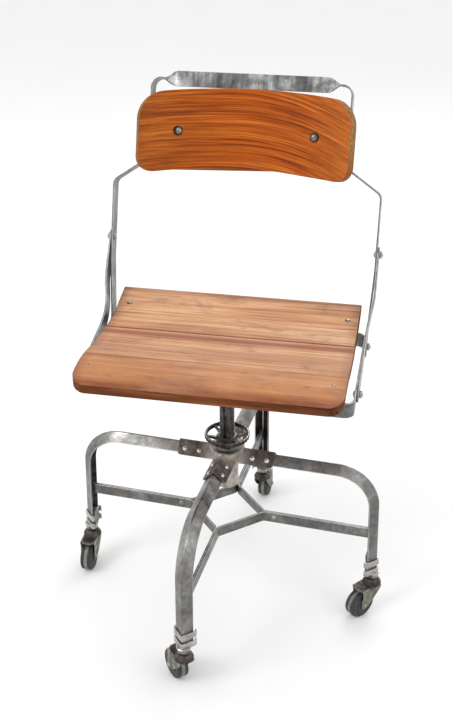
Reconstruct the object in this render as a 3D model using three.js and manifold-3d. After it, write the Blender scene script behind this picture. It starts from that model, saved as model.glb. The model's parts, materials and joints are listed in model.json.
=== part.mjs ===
// Drafting chair on an angle-steel pedestal with swivel casters.
// Units are millimetres, +Z is up and the seat faces -Y.
// The chair is drawn about the axis of its lift screw, with the floor at z = 0, and is then
// moved sideways so that the middle of its bounding box stands over the origin.
import * as THREE from "three";
import { mergeVertices } from "three/addons/utils/BufferGeometryUtils.js";
import Module from "manifold-3d";

const wasm = await Module();
wasm.setup();

// ---------------------------------------------------------------- driving dimensions

const GAP = 0.3; // clearance between faces that touch
const HOLE_CLEARANCE = 0.2; // radial clearance of a bolt or rivet in its hole
const BAR = { width: 25, thickness: 3 }; // flat bar of the seat frame, braces and back frame

// Casters
const WHEEL_RADIUS = 25.4;
const WHEEL_WIDTH = 22.5;
const WHEEL_GROOVE = { width: 5.5, depth: 0.8 };
const WHEEL_SIDE_CLEARANCE = 0.8;
const CASTER_TRAIL = 26.5; // stem axis to axle
const CASTER_HEIGHT = 67.7; // floor to the top of the swivel cup
const CASTER_CUP_RADIUS = 16;
const CHEEK_THICKNESS = 1.8;
const FORK_TOP_THICKNESS = 2.5;
const AXLE_RADIUS = 3.2;
const STEM_RADIUS = 5;
const NECK_RADIUS = 10;

// Legs and base
const STEM_CIRCLE_RADIUS = 258.7; // chair axis to each caster stem
const BASE_TURN = -4.63; // degrees, base relative to the seat as stored
const LEG_FLANGE = 20.5;
const LEG_THICKNESS = 3;
const LEG_TOP = 290.5; // height of the leg's ridge beside the hub
const LEG_BEND_RADIUS = { front: 96, right: 73, rear: 73, left: 73 };
const LEG_SPLAY = 1.8; // degrees, lower part of the leg from vertical
const LEG_REACH = 260; // ridge radius if the bend had no size
const LEG_INNER_END = 24;
const LEG_FOOT = CASTER_HEIGHT + 14.8; // height of the leg's lower end
const SADDLE_REACH = 83;
const SADDLE_THICKNESS = 2.4;
const SADDLE_CORNER = 6;
const SADDLE_OVERHANG = 1.5; // saddle flange beyond the leg's flange
const HUB_BELL = { radius: 30, foot: 25 }; // round body that joins the four saddles

// Stretcher
const STRETCHER = { height: 19, thickness: 3, top: LEG_TOP - 119.7, diamond: 65, bendRadius: 8 };
const STRETCHER_LEG_CLEARANCE = 2;
const STRETCHER_RIVET = { radius: 2.4, head: 4.6, headHeight: 2, offset: 18 };

// Lift screw and handwheel
const SCREW_RADIUS = 12.35;
const HUB_TUBE = { wall: 6.3, foot: LEG_TOP - 72, top: LEG_TOP + 5.2 };
const SCREW_FOOT = HUB_TUBE.foot + 10;
const SCREW_SHOULDER = HUB_TUBE.top + 105.8; // height where the swivel journal starts
const JOURNAL = { radius: 9, length: 34 };
const KEYWAY = { width: 5, depth: 3.2, keyLength: 30 };
const HANDWHEEL = { radius: 37.8, height: 23.8, rimHeight: 7.5, rimWidth: 4.5, bossWall: 5.85 };
const HANDWHEEL_SPOKES = { count: 6, firstAngle: 23, halfWidth: 2 };
const HANDWHEEL_LOBES = { count: 28, depth: 1.2 };
const WASHER = { wall: 5.35, thickness: 1.6 };

// Seat
const SEAT_WIDTH = 406;
const SEAT_THICKNESS = 14;
const SEAT_REAR = 128;
const SEAT_FRONT = -182;
const SEAT_SEAM = 10; // where the two boards meet
const SEAT_REAR_RISE = 18.5;
const SEAT_FRONT_RISE = 12;
const SEAT_CORNER_RADIUS = 24;
const SEAT_SCREW = { radius: 2.2, head: 4.2, headHeight: 1.2, depth: 24 };
const SEAT_SCREW_PLACE = { x: SEAT_WIDTH / 2 - 19, rear: SEAT_REAR - 39, front: SEAT_FRONT + 49 };

// Seat frame under the boards
const RING = {
  width: SEAT_WIDTH + 23,
  front: SEAT_FRONT + 62,
  rear: SEAT_REAR - 12,
  top: SCREW_SHOULDER + 66,
  cornerRadius: 15,
};
const SEAT_LOW = RING.top + 27; // top of the board at the bottom of its dip
const CLEAT_WIDTH = 22;
const CARRIER = { width: 30, thickness: 4, tab: 17, centreRadius: 34 };
const BEARING = { radius: 20, flangeRadius: 31, flangeThickness: 3.5 };

// Back frame, leaning in one plane that passes through the rear frame bolts
const LEAN = 18.4; // degrees from vertical
const BACK_PIVOT = { y: RING.rear - 24, z: RING.top - 13 }; // rear frame bolt
const UPRIGHT_TAIL = 16; // bar below the rear frame bolt
const UPRIGHT_SPREAD = RING.width / 2 + 6.4; // bar centre at the shoulder
const BACKREST_UP = 331; // the panel's bolts above the rear frame bolt, along the lean
const BACKREST = { width: 351, height: 126, thickness: 16, radius: 350, arch: 16 };
const BACKREST_CORNER = { lower: 28, upper: 38 };
const NECK_SPREAD = BACKREST.width / 2 - 12.3; // bar centre behind the backrest
const NECK_UP = BACKREST_UP - 45;
const SHOULDER_UP = NECK_UP - 39;
const TOP_BAR_UP = BACKREST_UP + BACKREST.height / 2 + 21;
const TOP_BEND_RADIUS = 16;
const TWIST_LENGTH = 30;
const BRACE_BOLT_UP = 152;
const BRACE_FRONT_BOLT = { y: RING.front + 49, z: RING.top - 10 };
const BRACE_KNEE = { y: BACK_PIVOT.y - 28, z: RING.top + 18 };
const BRACE_BEND_RADIUS = 100;
const BRACE_TAIL = 14;
const BRACE_STEP_RISE = 60; // rise above the knee over which the brace steps out past the upright

// Backrest
const BACKREST_FORWARD = 18.5; // front face at mid width, ahead of the frame's plane
const BACKREST_BOLT = {
  x: 0.3134 * BACKREST.width,
  radius: 3,
  head: 6.5,
  recess: 8.5,
  recessDepth: 2.5,
};
const STRAP = { width: 25, thickness: 3, tab: 43 };

// Frame bolts
const BOLT = { radius: 3, head: 6.2, headHeight: 3, nut: 6.6, nutHeight: 4.2, tail: 1.6 };

// Swivel angles of the casters as stored, from the outward direction of the chair's base
const CASTER_ANGLES = { front: 226, right: -128, rear: -1, left: 94 };
const LEG_DIRECTIONS = { front: -90, right: 0, rear: 90, left: 180 };

const COLOURS = {
  steel: { color: 0x8e8c88, roughness: 0.42, metalness: 0.9 },
  hub: { color: 0x6f6860, roughness: 0.5, metalness: 0.85 },
  screw: { color: 0x4a4440, roughness: 0.4, metalness: 0.9 },
  zinc: { color: 0x8b8778, roughness: 0.45, metalness: 0.8 },
  bolt: { color: 0x9b9892, roughness: 0.35, metalness: 0.95 },
  wheel: { color: 0x35363c, roughness: 0.6, metalness: 0 },
  seatWood: { color: 0xb98159, roughness: 0.6, metalness: 0 },
  backWood: { color: 0xa8602a, roughness: 0.45, metalness: 0 },
};

// ---------------------------------------------------------------- geometry helpers

const rad = THREE.MathUtils.degToRad;
const vec = (x, y, z) => new THREE.Vector3(x, y, z);

// A closed geometry as a solid, with its faces turned outwards.
function solid(geometry) {
  const bare = geometry.clone();
  bare.deleteAttribute("normal");
  bare.deleteAttribute("uv");
  const merged = mergeVertices(bare, 1e-4);
  const make = (flip) => {
    const triVerts = new Uint32Array(merged.index.array);
    if (flip) {
      for (let i = 0; i < triVerts.length; i += 3) {
        [triVerts[i + 1], triVerts[i + 2]] = [triVerts[i + 2], triVerts[i + 1]];
      }
    }
    const vertProperties = new Float32Array(merged.attributes.position.array);
    return new wasm.Manifold(new wasm.Mesh({ numProp: 3, vertProperties, triVerts }));
  };
  const made = make(false);
  return made.volume() < 0 ? make(true) : made;
}

function geometryOf(shape) {
  const mesh = shape.getMesh();
  const geometry = new THREE.BufferGeometry();
  geometry.setAttribute("position", new THREE.Float32BufferAttribute(mesh.vertProperties, 3));
  geometry.setIndex(new THREE.Uint32BufferAttribute(mesh.triVerts, 1));
  geometry.computeVertexNormals();
  return geometry;
}

const union = (...shapes) => shapes.reduce((all, one) => all.add(one));
const cut = (shape, ...tools) => tools.reduce((left, tool) => left.subtract(tool), shape);

function shapeOf(outline, holes = []) {
  const points = (list) => list.map(([x, y]) => new THREE.Vector2(x, y));
  const shape = new THREE.Shape(points(outline));
  for (const hole of holes) shape.holes.push(new THREE.Path(points(hole)));
  return shape;
}

// An outline extruded between two stations of an axis. The outline is drawn in (y, z) for the
// x axis, (x, z) for the y axis and (x, y) for the z axis.
function slab(axis, outline, from, to, holes = []) {
  const options = { depth: to - from, bevelEnabled: false };
  const geometry = new THREE.ExtrudeGeometry(shapeOf(outline, holes), options);
  const turn = new THREE.Matrix4();
  const [x, y, z] = [vec(1, 0, 0), vec(0, 1, 0), vec(0, 0, 1)];
  if (axis === "x") turn.makeBasis(y, z, x).setPosition(from, 0, 0);
  if (axis === "y") turn.makeBasis(x, z, y.negate()).setPosition(0, to, 0);
  if (axis === "z") turn.makeTranslation(0, 0, from);
  return solid(geometry.applyMatrix4(turn));
}

function circle(radius, segments, cx = 0, cy = 0) {
  return Array.from({ length: segments }, (_, i) => {
    const a = ((i + 0.5) / segments) * 2 * Math.PI;
    return [cx + radius * Math.cos(a), cy + radius * Math.sin(a)];
  });
}

const rod = (axis, radius, from, to, at = [0, 0], segments = 16) =>
  slab(axis, circle(radius, segments, at[0], at[1]), from, to);

const box = (x0, x1, y0, y1, z0, z1) => slab("z", [[x0, y0], [x1, y0], [x1, y1], [x0, y1]], z0, z1);

// A profile of [radius, height] points turned about the Z axis.
function turned(profile, segments) {
  const points = profile.map(([r, h]) => new THREE.Vector2(r, h));
  return solid(new THREE.LatheGeometry(points, segments).rotateX(Math.PI / 2));
}

// A line through corners with each inner corner rounded: a list of points with unit normals.
function bentLine(corners, radius, stepDegrees = 12) {
  const out = [];
  const direction = (a, b) => {
    const length = Math.hypot(b[0] - a[0], b[1] - a[1]);
    return [(b[0] - a[0]) / length, (b[1] - a[1]) / length];
  };
  const add = (x, y, dx, dy) => out.push({ x, y, nx: -dy, ny: dx });
  const first = direction(corners[0], corners[1]);
  add(...corners[0], ...first);
  for (let i = 1; i < corners.length - 1; i++) {
    const a = direction(corners[i - 1], corners[i]);
    const b = direction(corners[i], corners[i + 1]);
    const turn = Math.atan2(a[0] * b[1] - a[1] * b[0], a[0] * b[0] + a[1] * b[1]);
    const r = Array.isArray(radius) ? radius[i - 1] : radius;
    const back = r * Math.tan(Math.abs(turn) / 2);
    const start = [corners[i][0] - a[0] * back, corners[i][1] - a[1] * back];
    const side = Math.sign(turn);
    const centre = [start[0] - a[1] * side * r, start[1] + a[0] * side * r];
    const steps = Math.max(1, Math.ceil(Math.abs(turn) / rad(stepDegrees)));
    for (let k = 0; k <= steps; k++) {
      const t = (turn * k) / steps;
      const dx = a[0] * Math.cos(t) - a[1] * Math.sin(t);
      const dy = a[0] * Math.sin(t) + a[1] * Math.cos(t);
      add(centre[0] + dy * side * r, centre[1] - dx * side * r, dx, dy);
    }
  }
  const last = direction(corners[corners.length - 2], corners[corners.length - 1]);
  add(...corners[corners.length - 1], ...last);
  return out;
}

// The same line with no step longer than asked.
function subdivided(line, longest) {
  return line.flatMap((p, i) => {
    if (i === 0) return [p];
    const q = line[i - 1];
    const n = Math.ceil(Math.hypot(p.x - q.x, p.y - q.y) / longest);
    return Array.from({ length: n }, (_, k) => {
      const t = (k + 1) / n;
      const mix = (key) => q[key] + (p[key] - q[key]) * t;
      return { x: mix("x"), y: mix("y"), nx: mix("nx"), ny: mix("ny") };
    });
  });
}

// The outline of a strip of even thickness along a bent line.
function strip(line, thickness) {
  const side = (by) => line.map((p) => [p.x + p.nx * by, p.y + p.ny * by]);
  return [...side(-thickness / 2), ...side(thickness / 2).reverse()];
}

// A rectangle with rounded corners; radii run from the lower left corner, counter-clockwise.
function roundedRectangle(x0, x1, y0, y1, radii, segments = 5) {
  const corners = [[x0, y0], [x1, y0], [x1, y1], [x0, y1]];
  return corners.flatMap(([x, y], i) => {
    const r = radii[i];
    if (!r) return [[x, y]];
    const cx = x + (x === x0 ? r : -r);
    const cy = y + (y === y0 ? r : -r);
    return Array.from({ length: segments + 1 }, (_, k) => {
      const a = rad(180 + 90 * i + (90 * k) / segments);
      return [cx + r * Math.cos(a), cy + r * Math.sin(a)];
    });
  });
}

// A section of [u, v] points carried through stations, each with its place and two directions.
function sweep(section, stations) {
  const n = section.length;
  const point = ({ at, u, v }, [a, b]) => at.clone().addScaledVector(u, a).addScaledVector(v, b);
  const place = (station) => section.flatMap((corner) => point(station, corner).toArray());
  const index = [];
  for (let s = 0; s < stations.length - 1; s++) {
    for (let i = 0; i < n; i++) {
      const a = s * n + i;
      const b = s * n + ((i + 1) % n);
      index.push(a, b, b + n, a, b + n, a + n);
    }
  }
  const flat = section.map(([a, b]) => new THREE.Vector2(a, b));
  const cap = THREE.ShapeUtils.triangulateShape(flat, []);
  const last = (stations.length - 1) * n;
  for (const [a, b, c] of cap) index.push(a, c, b, last + a, last + b, last + c);
  const geometry = new THREE.BufferGeometry();
  geometry.setAttribute("position", new THREE.Float32BufferAttribute(stations.flatMap(place), 3));
  geometry.setIndex(index);
  return solid(geometry);
}

const moved = (shape, x, y, z) => shape.translate([x, y, z]);
const turnedAbout = (shape, degrees) => shape.rotate([0, 0, degrees]);

// The pieces of a shape that repeats on the left and on the right.
const onBothSides = (make) => [-1, 1].flatMap(make);

function finish(look) {
  return new THREE.MeshStandardMaterial(COLOURS[look]);
}

function piece(group, name, shape, look) {
  const mesh = new THREE.Mesh(geometryOf(shape), finish(look));
  mesh.name = name;
  group.add(mesh);
}

// ---------------------------------------------------------------- base

// Angle section with its ridge at the origin, drawn in (across, outward).
function angleSection(flange, thickness, lift = 0) {
  const e = flange * Math.SQRT1_2;
  const q = thickness * Math.SQRT1_2;
  const r = 0.12 * flange * Math.SQRT1_2;
  const outer = [[e, lift - e], [r, lift - r], [0, lift - 0.45 * r], [-r, lift - r], [-e, lift - e]];
  return [...outer, [-e + q, lift - e - q], [0, lift - 2 * q], [e - q, lift - e - q]];
}

// The ridge line of a leg, in (radius, height), from the hub outwards and down.
function legRidge(bendRadius = LEG_BEND_RADIUS.left) {
  const footRadius = LEG_REACH + Math.tan(rad(LEG_SPLAY)) * (LEG_TOP - LEG_FOOT);
  const corners = [[LEG_INNER_END, LEG_TOP], [LEG_REACH, LEG_TOP], [footRadius, LEG_FOOT]];
  return bentLine(corners, bendRadius, 9);
}

// Ridge radius of a leg's lower part at a height.
function legRadiusAt(height) {
  const line = legRidge();
  const a = line[line.length - 2];
  const b = line[line.length - 1];
  return a.x + ((b.x - a.x) * (height - a.y)) / (b.y - a.y);
}

function sweptAlongLeg(section, line) {
  const stations = line.map((p) => ({ at: vec(p.x, 0, p.y), u: vec(0, 1, 0), v: vec(p.nx, 0, p.ny) }));
  return sweep(section, stations);
}

function leg(place) {
  return sweptAlongLeg(angleSection(LEG_FLANGE, LEG_THICKNESS), legRidge(LEG_BEND_RADIUS[place]));
}

// A roof-shaped prism along X, open below, used for both faces of the pressed hub.
function roof(lift, halfWidth, reach) {
  const top = LEG_TOP + lift;
  const outline = [[-halfWidth, top - halfWidth], [halfWidth, top - halfWidth], [0, top]];
  return slab("x", outline, -reach, reach);
}

function hubSpider() {
  const inside = GAP * Math.SQRT2;
  const outside = (GAP + SADDLE_THICKNESS) * Math.SQRT2;
  const edge = LEG_FLANGE * Math.SQRT1_2 + SADDLE_OVERHANG;
  const floor = LEG_TOP - edge;
  const cross = (lift, reach, corner = 0) => {
    const w = edge + lift;
    const plan = roundedRectangle(-reach, reach, -w, w, Array(4).fill(corner), 4);
    const one = roof(lift, w, reach).intersect(slab("z", plan, 0, LEG_TOP + 20));
    return union(one, turnedAbout(one, 90));
  };
  const body = union(cross(outside, SADDLE_REACH, SADDLE_CORNER), hubBell(floor));
  const pressed = cut(body, cross(inside, SADDLE_REACH + 5));
  const neck = rod("z", tubeOuterRadius() + GAP, floor - 40, LEG_TOP + 20, [0, 0], 32);
  const below = box(-200, 200, -200, 200, floor - 60, floor);
  return cut(pressed, neck, below);
}

function hubBell(floor) {
  const { radius, foot } = HUB_BELL;
  const top = LEG_TOP + 4;
  const side = [[foot, floor], [radius, floor + 10], [radius, top - 2], [radius - 2, top]];
  return turned([[0, floor], ...side, [0, top]], 32);
}

const tubeBore = () => SCREW_RADIUS + GAP;
const tubeOuterRadius = () => tubeBore() + HUB_TUBE.wall;

function hubTube() {
  const r = tubeOuterRadius();
  const { foot, top } = HUB_TUBE;
  const bore = tubeBore();
  const outside = [[r - 2, foot], [r, foot + 2], [r, top - 1], [r - 1, top]];
  const profile = [[bore, foot], ...outside, [bore, top], [bore, foot]];
  const seat = keySlot(KEYWAY.width / 2 + GAP, top - KEYWAY.keyLength - GAP, top + 1);
  return cut(turned(profile, 28), seat);
}

// A radial slot on the front of the screw's bore, used for the key and its seat.
function keySlot(halfWidth, from, to, depth = 4) {
  const inner = SCREW_RADIUS - KEYWAY.depth + GAP;
  return box(-halfWidth, halfWidth, -(tubeBore() + depth), -inner, from, to);
}

function guideKey() {
  const { top } = HUB_TUBE;
  return keySlot(KEYWAY.width / 2 - GAP, top - KEYWAY.keyLength, top - GAP, 4 - GAP);
}

function stretcher() {
  const s = STRETCHER;
  const offset = s.thickness / 2 + GAP / 2;
  const insideOfLeg = legRadiusAt(s.top) - LEG_THICKNESS * Math.SQRT2;
  const end = insideOfLeg - offset - s.thickness / 2 - STRETCHER_LEG_CLEARANCE;
  const corners = [[end, offset], [s.diamond, offset], [offset, s.diamond], [offset, end]];
  const line = bentLine(corners, s.bendRadius, 15);
  const bar = slab("z", strip(line, s.thickness), s.top - s.height, s.top);
  const hole = rod("y", STRETCHER_RIVET.radius + HOLE_CLEARANCE, -5, 10, rivetPlace(), 12);
  const holeAcross = rod("x", STRETCHER_RIVET.radius + HOLE_CLEARANCE, -5, 10, rivetPlace(), 12);
  return cut(bar, hole, holeAcross);
}

const rivetPlace = () => [STRETCHER.diamond + STRETCHER_RIVET.offset, STRETCHER.top - STRETCHER.height / 2];

function stretcherRivet() {
  const r = STRETCHER_RIVET;
  const face = STRETCHER.thickness + GAP;
  const at = rivetPlace();
  return union(
    rod("y", r.radius, -face - 1, face + 1, at, 10),
    rod("y", r.head, face, face + r.headHeight, at, 10),
    rod("y", r.head, -face - r.headHeight, -face, at, 10),
  );
}

// ---------------------------------------------------------------- casters

// The socket is drawn with its stem on the origin's vertical axis and the leg outside it at +X.
function casterSocket() {
  const ridgeAt = (height) => legRadiusAt(height) - STEM_CIRCLE_RADIUS;
  const bore = rod("z", STEM_RADIUS + GAP, CASTER_HEIGHT - 1, LEG_FOOT - 6, [0, 0], 16);
  const neckFoot = CASTER_HEIGHT + GAP;
  const neckTop = LEG_FOOT - GAP;
  const r = NECK_RADIUS;
  const flare = [[r, neckFoot + 1.7], [r, neckTop - 5], [r + 2.5, neckTop]];
  const neck = turned([[0, neckFoot], [r - 1, neckFoot], ...flare, [0, neckTop]], 16);
  const band = (from, to) => {
    const x = ridgeAt((from + to) / 2);
    const side = LEG_FLANGE * Math.SQRT1_2 + 3.2;
    const nose = x + 4.3;
    const back = x - (LEG_FLANGE + LEG_THICKNESS) * Math.SQRT1_2 - 3;
    const outline = [[nose, 0], [nose - side, side], [back, side], [back, -side], [nose - side, -side]];
    return slab("z", outline, from, to);
  };
  const bands = union(band(LEG_FOOT - 2.5, LEG_FOOT + 10), band(LEG_FOOT + 15, LEG_FOOT + 27));
  const tongueOutline = [[6.2, 0], [-3, 9.2], [-16, 9.2], [-16, -9.2], [-3, -9.2]];
  const tongue = slab("z", tongueOutline, neckTop - 4, LEG_FOOT + 34);
  const legRoom = moved(sweptAlongLeg(socketLegRoom(), legRidge()), -STEM_CIRCLE_RADIUS, 0, 0);
  return cut(union(neck, bands, tongue), legRoom, bore);
}

// The leg's section grown by the gap, to clear the leg out of its socket.
function socketLegRoom() {
  const grown = LEG_FLANGE + 2 * GAP;
  return angleSection(grown, LEG_THICKNESS + 2 * GAP, GAP * Math.SQRT2);
}

// The fork is drawn with its stem on the Z axis and the wheel trailing towards +X.
function casterFork() {
  const inner = WHEEL_WIDTH / 2 + WHEEL_SIDE_CLEARANCE;
  const outer = inner + CHEEK_THICKNESS;
  const top = CASTER_HEIGHT - 9;
  const axle = [CASTER_TRAIL, WHEEL_RADIUS];
  const eye = AXLE_RADIUS + 3.2;
  const arc = Array.from({ length: 6 }, (_, i) => {
    const a = rad(-130 + (170 * i) / 5);
    return [axle[0] + eye * Math.cos(a), axle[1] + eye * Math.sin(a)];
  });
  const [x, z] = axle;
  const front = [[-10, top], [-10, top - 8], [5, z + 6]];
  const back = [[x + 3, z + 12], [x + 1, top - 6], [x + 6, top]];
  const cheek = (from, to) => slab("y", [...front, ...arc, ...back], from, to);
  const edge = (y) => [[-11, y * 0.86], [-6, y], [x + 2, y], [x + 9, y * 0.62]];
  const under = top - FORK_TOP_THICKNESS;
  const plate = slab("z", [...edge(-outer), ...edge(outer).reverse()], under, top);
  const lipEdge = (y) => [[x + 7, y * 0.68], [x + 9.4, y * 0.6]];
  const lip = slab("z", [...lipEdge(-outer), ...lipEdge(outer).reverse()], top - 5, top);
  const r = CASTER_CUP_RADIUS;
  const dome = [[r, under], [r, top + 3], [r - 3, top + 6], [r - 4.5, CASTER_HEIGHT]];
  const cup = turned([[0, under], ...dome, [0, CASTER_HEIGHT]], 18);
  const stem = rod("z", STEM_RADIUS, CASTER_HEIGHT - 2, LEG_FOOT - 6 - 2 * GAP, [0, 0], 16);
  const hole = rod("y", AXLE_RADIUS + HOLE_CLEARANCE, -outer - 1, outer + 1, axle, 12);
  return cut(union(cheek(-outer, -inner), cheek(inner, outer), plate, lip, cup, stem), hole);
}

function casterWheel() {
  const half = WHEEL_WIDTH / 2;
  const r = WHEEL_RADIUS;
  const groove = WHEEL_GROOVE.width / 2;
  const bore = AXLE_RADIUS + GAP;
  const profile = [
    [bore, -half], [r * 0.42, -half], [r * 0.5, -half + 2], [r * 0.86, -half + 1.2],
    [r, -half + 4], [r, -groove - 0.4], [r - WHEEL_GROOVE.depth, -groove],
  ];
  const mirrored = profile.map(([a, b]) => [a, -b]).reverse();
  const wheel = turned([...profile, ...mirrored, profile[0]], 20).rotate([90, 0, 0]);
  return moved(wheel, CASTER_TRAIL, 0, r);
}

function casterAxle() {
  const outer = WHEEL_WIDTH / 2 + WHEEL_SIDE_CLEARANCE + CHEEK_THICKNESS + GAP;
  const head = AXLE_RADIUS + 1.8;
  const at = [CASTER_TRAIL, WHEEL_RADIUS];
  return union(
    rod("y", AXLE_RADIUS, -outer - 1, outer + 1, at, 12),
    rod("y", head, -outer - 2.4, -outer, at, 12),
    rod("y", head, outer, outer + 2.4, at, 12),
  );
}

// ---------------------------------------------------------------- lift screw and handwheel

function liftScrew() {
  const r = SCREW_RADIUS;
  const top = SCREW_SHOULDER + JOURNAL.length;
  const thread = [[0, SCREW_FOOT], [r - 2, SCREW_FOOT], [r, SCREW_FOOT + 2], [r, SCREW_SHOULDER]];
  const j = JOURNAL.radius;
  const journal = [[j, SCREW_SHOULDER], [j, top - 1], [j - 1, top], [0, top]];
  const half = KEYWAY.width / 2;
  const slot = box(-half, half, -r - 1, -r + KEYWAY.depth, SCREW_FOOT - 1, SCREW_SHOULDER - 6);
  return cut(turned([...thread, ...journal], 28), slot);
}

// The nut's rim, scalloped so that fingers can turn it.
function handwheelRim(top) {
  const { radius, rimHeight, rimWidth } = HANDWHEEL;
  const { count, depth } = HANDWHEEL_LOBES;
  const outline = Array.from({ length: count * 2 }, (_, i) => {
    const a = (i / count) * Math.PI;
    const r = radius - (i % 2) * depth;
    return [r * Math.cos(a), r * Math.sin(a)];
  });
  return slab("z", outline, top - rimHeight, top, [circle(radius - rimWidth, 28).reverse()]);
}

function handwheel() {
  const top = HUB_TUBE.top + HANDWHEEL.height;
  const foot = HUB_TUBE.top + WASHER.thickness + 2 * GAP;
  const bore = tubeBore();
  const r = bore + HANDWHEEL.bossWall;
  const shoulder = [[r - 1, top - 6], [bore + 1.5, top - 3], [bore, top - 3]];
  const boss = turned([[bore, foot], [r, foot], ...shoulder, [bore, foot]], 24);
  const tip = HANDWHEEL.radius - 2;
  const outline = [[r - 2.5, top - 12], [tip, top - 6], [tip, top - 1.5], [r - 2.5, top - 7]];
  const { count, firstAngle, halfWidth } = HANDWHEEL_SPOKES;
  const spoke = slab("y", outline, -halfWidth, halfWidth);
  const angles = Array.from({ length: count }, (_, i) => firstAngle + (360 * i) / count);
  return union(handwheelRim(top), boss, ...angles.map((angle) => turnedAbout(spoke, angle)));
}

function thrustWasher() {
  const foot = HUB_TUBE.top + GAP;
  const bore = circle(tubeBore(), 24).reverse();
  return slab("z", circle(tubeBore() + WASHER.wall, 24), foot, foot + WASHER.thickness, [bore]);
}

// ---------------------------------------------------------------- seat

// The top of the boards as a smooth line in (y, z): a raised rear, a dip and a rolled front.
function seatTopLine() {
  const rearFlat = 62;
  const points = [
    [SEAT_REAR, SEAT_LOW + SEAT_REAR_RISE],
    [SEAT_REAR - 36, SEAT_LOW + 0.52 * SEAT_REAR_RISE],
    [rearFlat, SEAT_LOW + 0.06 * SEAT_REAR_RISE],
    [SEAT_SEAM, SEAT_LOW],
    [-48, SEAT_LOW + 0.2 * SEAT_FRONT_RISE],
    [-92, SEAT_LOW + 0.82 * SEAT_FRONT_RISE],
    [SEAT_FRONT + 56, SEAT_LOW + SEAT_FRONT_RISE],
    [SEAT_FRONT + 26, SEAT_LOW + 0.72 * SEAT_FRONT_RISE],
    [SEAT_FRONT, SEAT_LOW],
  ];
  const curve = new THREE.SplineCurve(points.map(([y, z]) => new THREE.Vector2(y, z)));
  return curve.getPoints(32).map((p) => [p.x, p.y]);
}

function heightOn(line, y) {
  const i = Math.max(1, line.findIndex(([a]) => a <= y));
  const [a, b] = [line[i - 1], line[i]];
  return a[1] + ((b[1] - a[1]) * (y - a[0])) / (b[0] - a[0]);
}

function seatBoard(from, to) {
  const line = seatTopLine();
  const inner = line.filter(([y]) => y > from + 0.5 && y < to - 0.5);
  const top = [[to, heightOn(line, to)], ...inner, [from, heightOn(line, from)]];
  const profile = [...top, ...top.map(([y, z]) => [y, z - SEAT_THICKNESS]).reverse()];
  const half = SEAT_WIDTH / 2;
  const board = slab("x", profile, -half, half);
  const radii = from === SEAT_FRONT ? [SEAT_CORNER_RADIUS, SEAT_CORNER_RADIUS, 0, 0] : [0, 0, 2, 2];
  const plan = slab("z", roundedRectangle(-half, half, from, to, radii), SEAT_LOW - 60, SEAT_LOW + 60);
  return cut(board.intersect(plan), ...seatScrewPlaces().map((p) => seatScrew(p, HOLE_CLEARANCE)));
}

function seatScrewPlaces() {
  const { x, rear, front } = SEAT_SCREW_PLACE;
  return onBothSides((side) => [rear, front].map((y) => ({ x: side * x, y })));
}

function seatScrew({ x, y }, grow = 0) {
  const s = SEAT_SCREW;
  const top = heightOn(seatTopLine(), y) + 0.2;
  const countersink = top - s.headHeight - 1.2;
  const tip = top - s.depth - grow;
  const face = top + grow * 8;
  const shank = [[0, tip], [s.radius + grow, tip], [s.radius + grow, countersink - 2 - grow]];
  const head = [[s.head + grow, countersink + 1.4 - grow], [s.head + grow, face], [0, face]];
  return moved(turned([...shank, ...head], 16), x, y, 0);
}

function seatCleat(side) {
  const line = seatTopLine();
  const margin = BAR.thickness + 4;
  const from = RING.front + margin;
  const to = RING.rear - margin;
  const bottom = RING.top + GAP;
  const under = (y) => heightOn(line, y) - SEAT_THICKNESS - GAP - 0.2;
  const inner = line.filter(([y]) => y > from + 0.5 && y < to - 0.5).map(([y]) => y);
  const reach = SEAT_SCREW_PLACE.front - 16;
  const top = [to, ...inner, from].map((y) => [y, under(y)]);
  const nose = line.filter(([y]) => y < from - 0.5 && y > reach + 0.5).map(([y]) => [y, under(y)]);
  const tip = [[reach, under(reach)], [reach, under(reach) - 8]];
  const outline = [...top, ...nose, ...tip, [from - 4, bottom], [to, bottom]];
  const x = side * SEAT_SCREW_PLACE.x;
  const cleat = slab("x", outline, x - CLEAT_WIDTH / 2, x + CLEAT_WIDTH / 2);
  return cut(cleat, ...seatScrewPlaces().map((p) => seatScrew(p, HOLE_CLEARANCE)));
}

const ringBottom = () => RING.top - BAR.width;

function seatRing() {
  const half = RING.width / 2;
  const t = BAR.thickness;
  const loop = (inset) => {
    const radii = Array(4).fill(RING.cornerRadius - inset);
    return roundedRectangle(-half + inset, half - inset, RING.front + inset, RING.rear - inset, radii);
  };
  const ring = slab("z", loop(0), ringBottom(), RING.top, [loop(t).reverse()]);
  const holes = [BACK_PIVOT, BRACE_FRONT_BOLT].map(({ y, z }) => boltHole([y, z]));
  return cut(ring, ...holes);
}

// Flat carrier from the front to the rear of the ring, with a tab turned up at each end.
function seatCarrier() {
  const front = RING.front + BAR.thickness + GAP;
  const rear = RING.rear - BAR.thickness - GAP;
  const w = CARRIER.width / 2;
  const t = CARRIER.thickness;
  const z = ringBottom() + 1;
  const bar = box(-w, w, front, rear, z, z + t);
  const tab = (from) => box(-w, w, from, from + t, z, z + CARRIER.tab);
  const centre = rod("z", CARRIER.centreRadius, z, z + t, [0, 0], 24);
  const hole = rod("z", JOURNAL.radius + 3, z - 1, z + t + 1, [0, 0], 24);
  return cut(union(bar, tab(front), tab(rear - t), centre), hole);
}

// Flanged cup that turns on the screw's journal and carries the seat's carrier.
function seatBearing() {
  const b = BEARING;
  const bore = JOURNAL.radius + GAP;
  const foot = SCREW_SHOULDER + GAP;
  const top = ringBottom() + 1 - GAP;
  const flange = top - b.flangeThickness;
  const cup = [[bore, foot], [b.radius - 2, foot], [b.radius, foot + 2], [b.radius, flange - 3]];
  const rim = [[b.radius + 3, flange], [b.flangeRadius, flange], [b.flangeRadius, top]];
  return turned([...cup, ...rim, [bore, top], [bore, foot]], 24);
}

// ---------------------------------------------------------------- back frame and backrest

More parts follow.
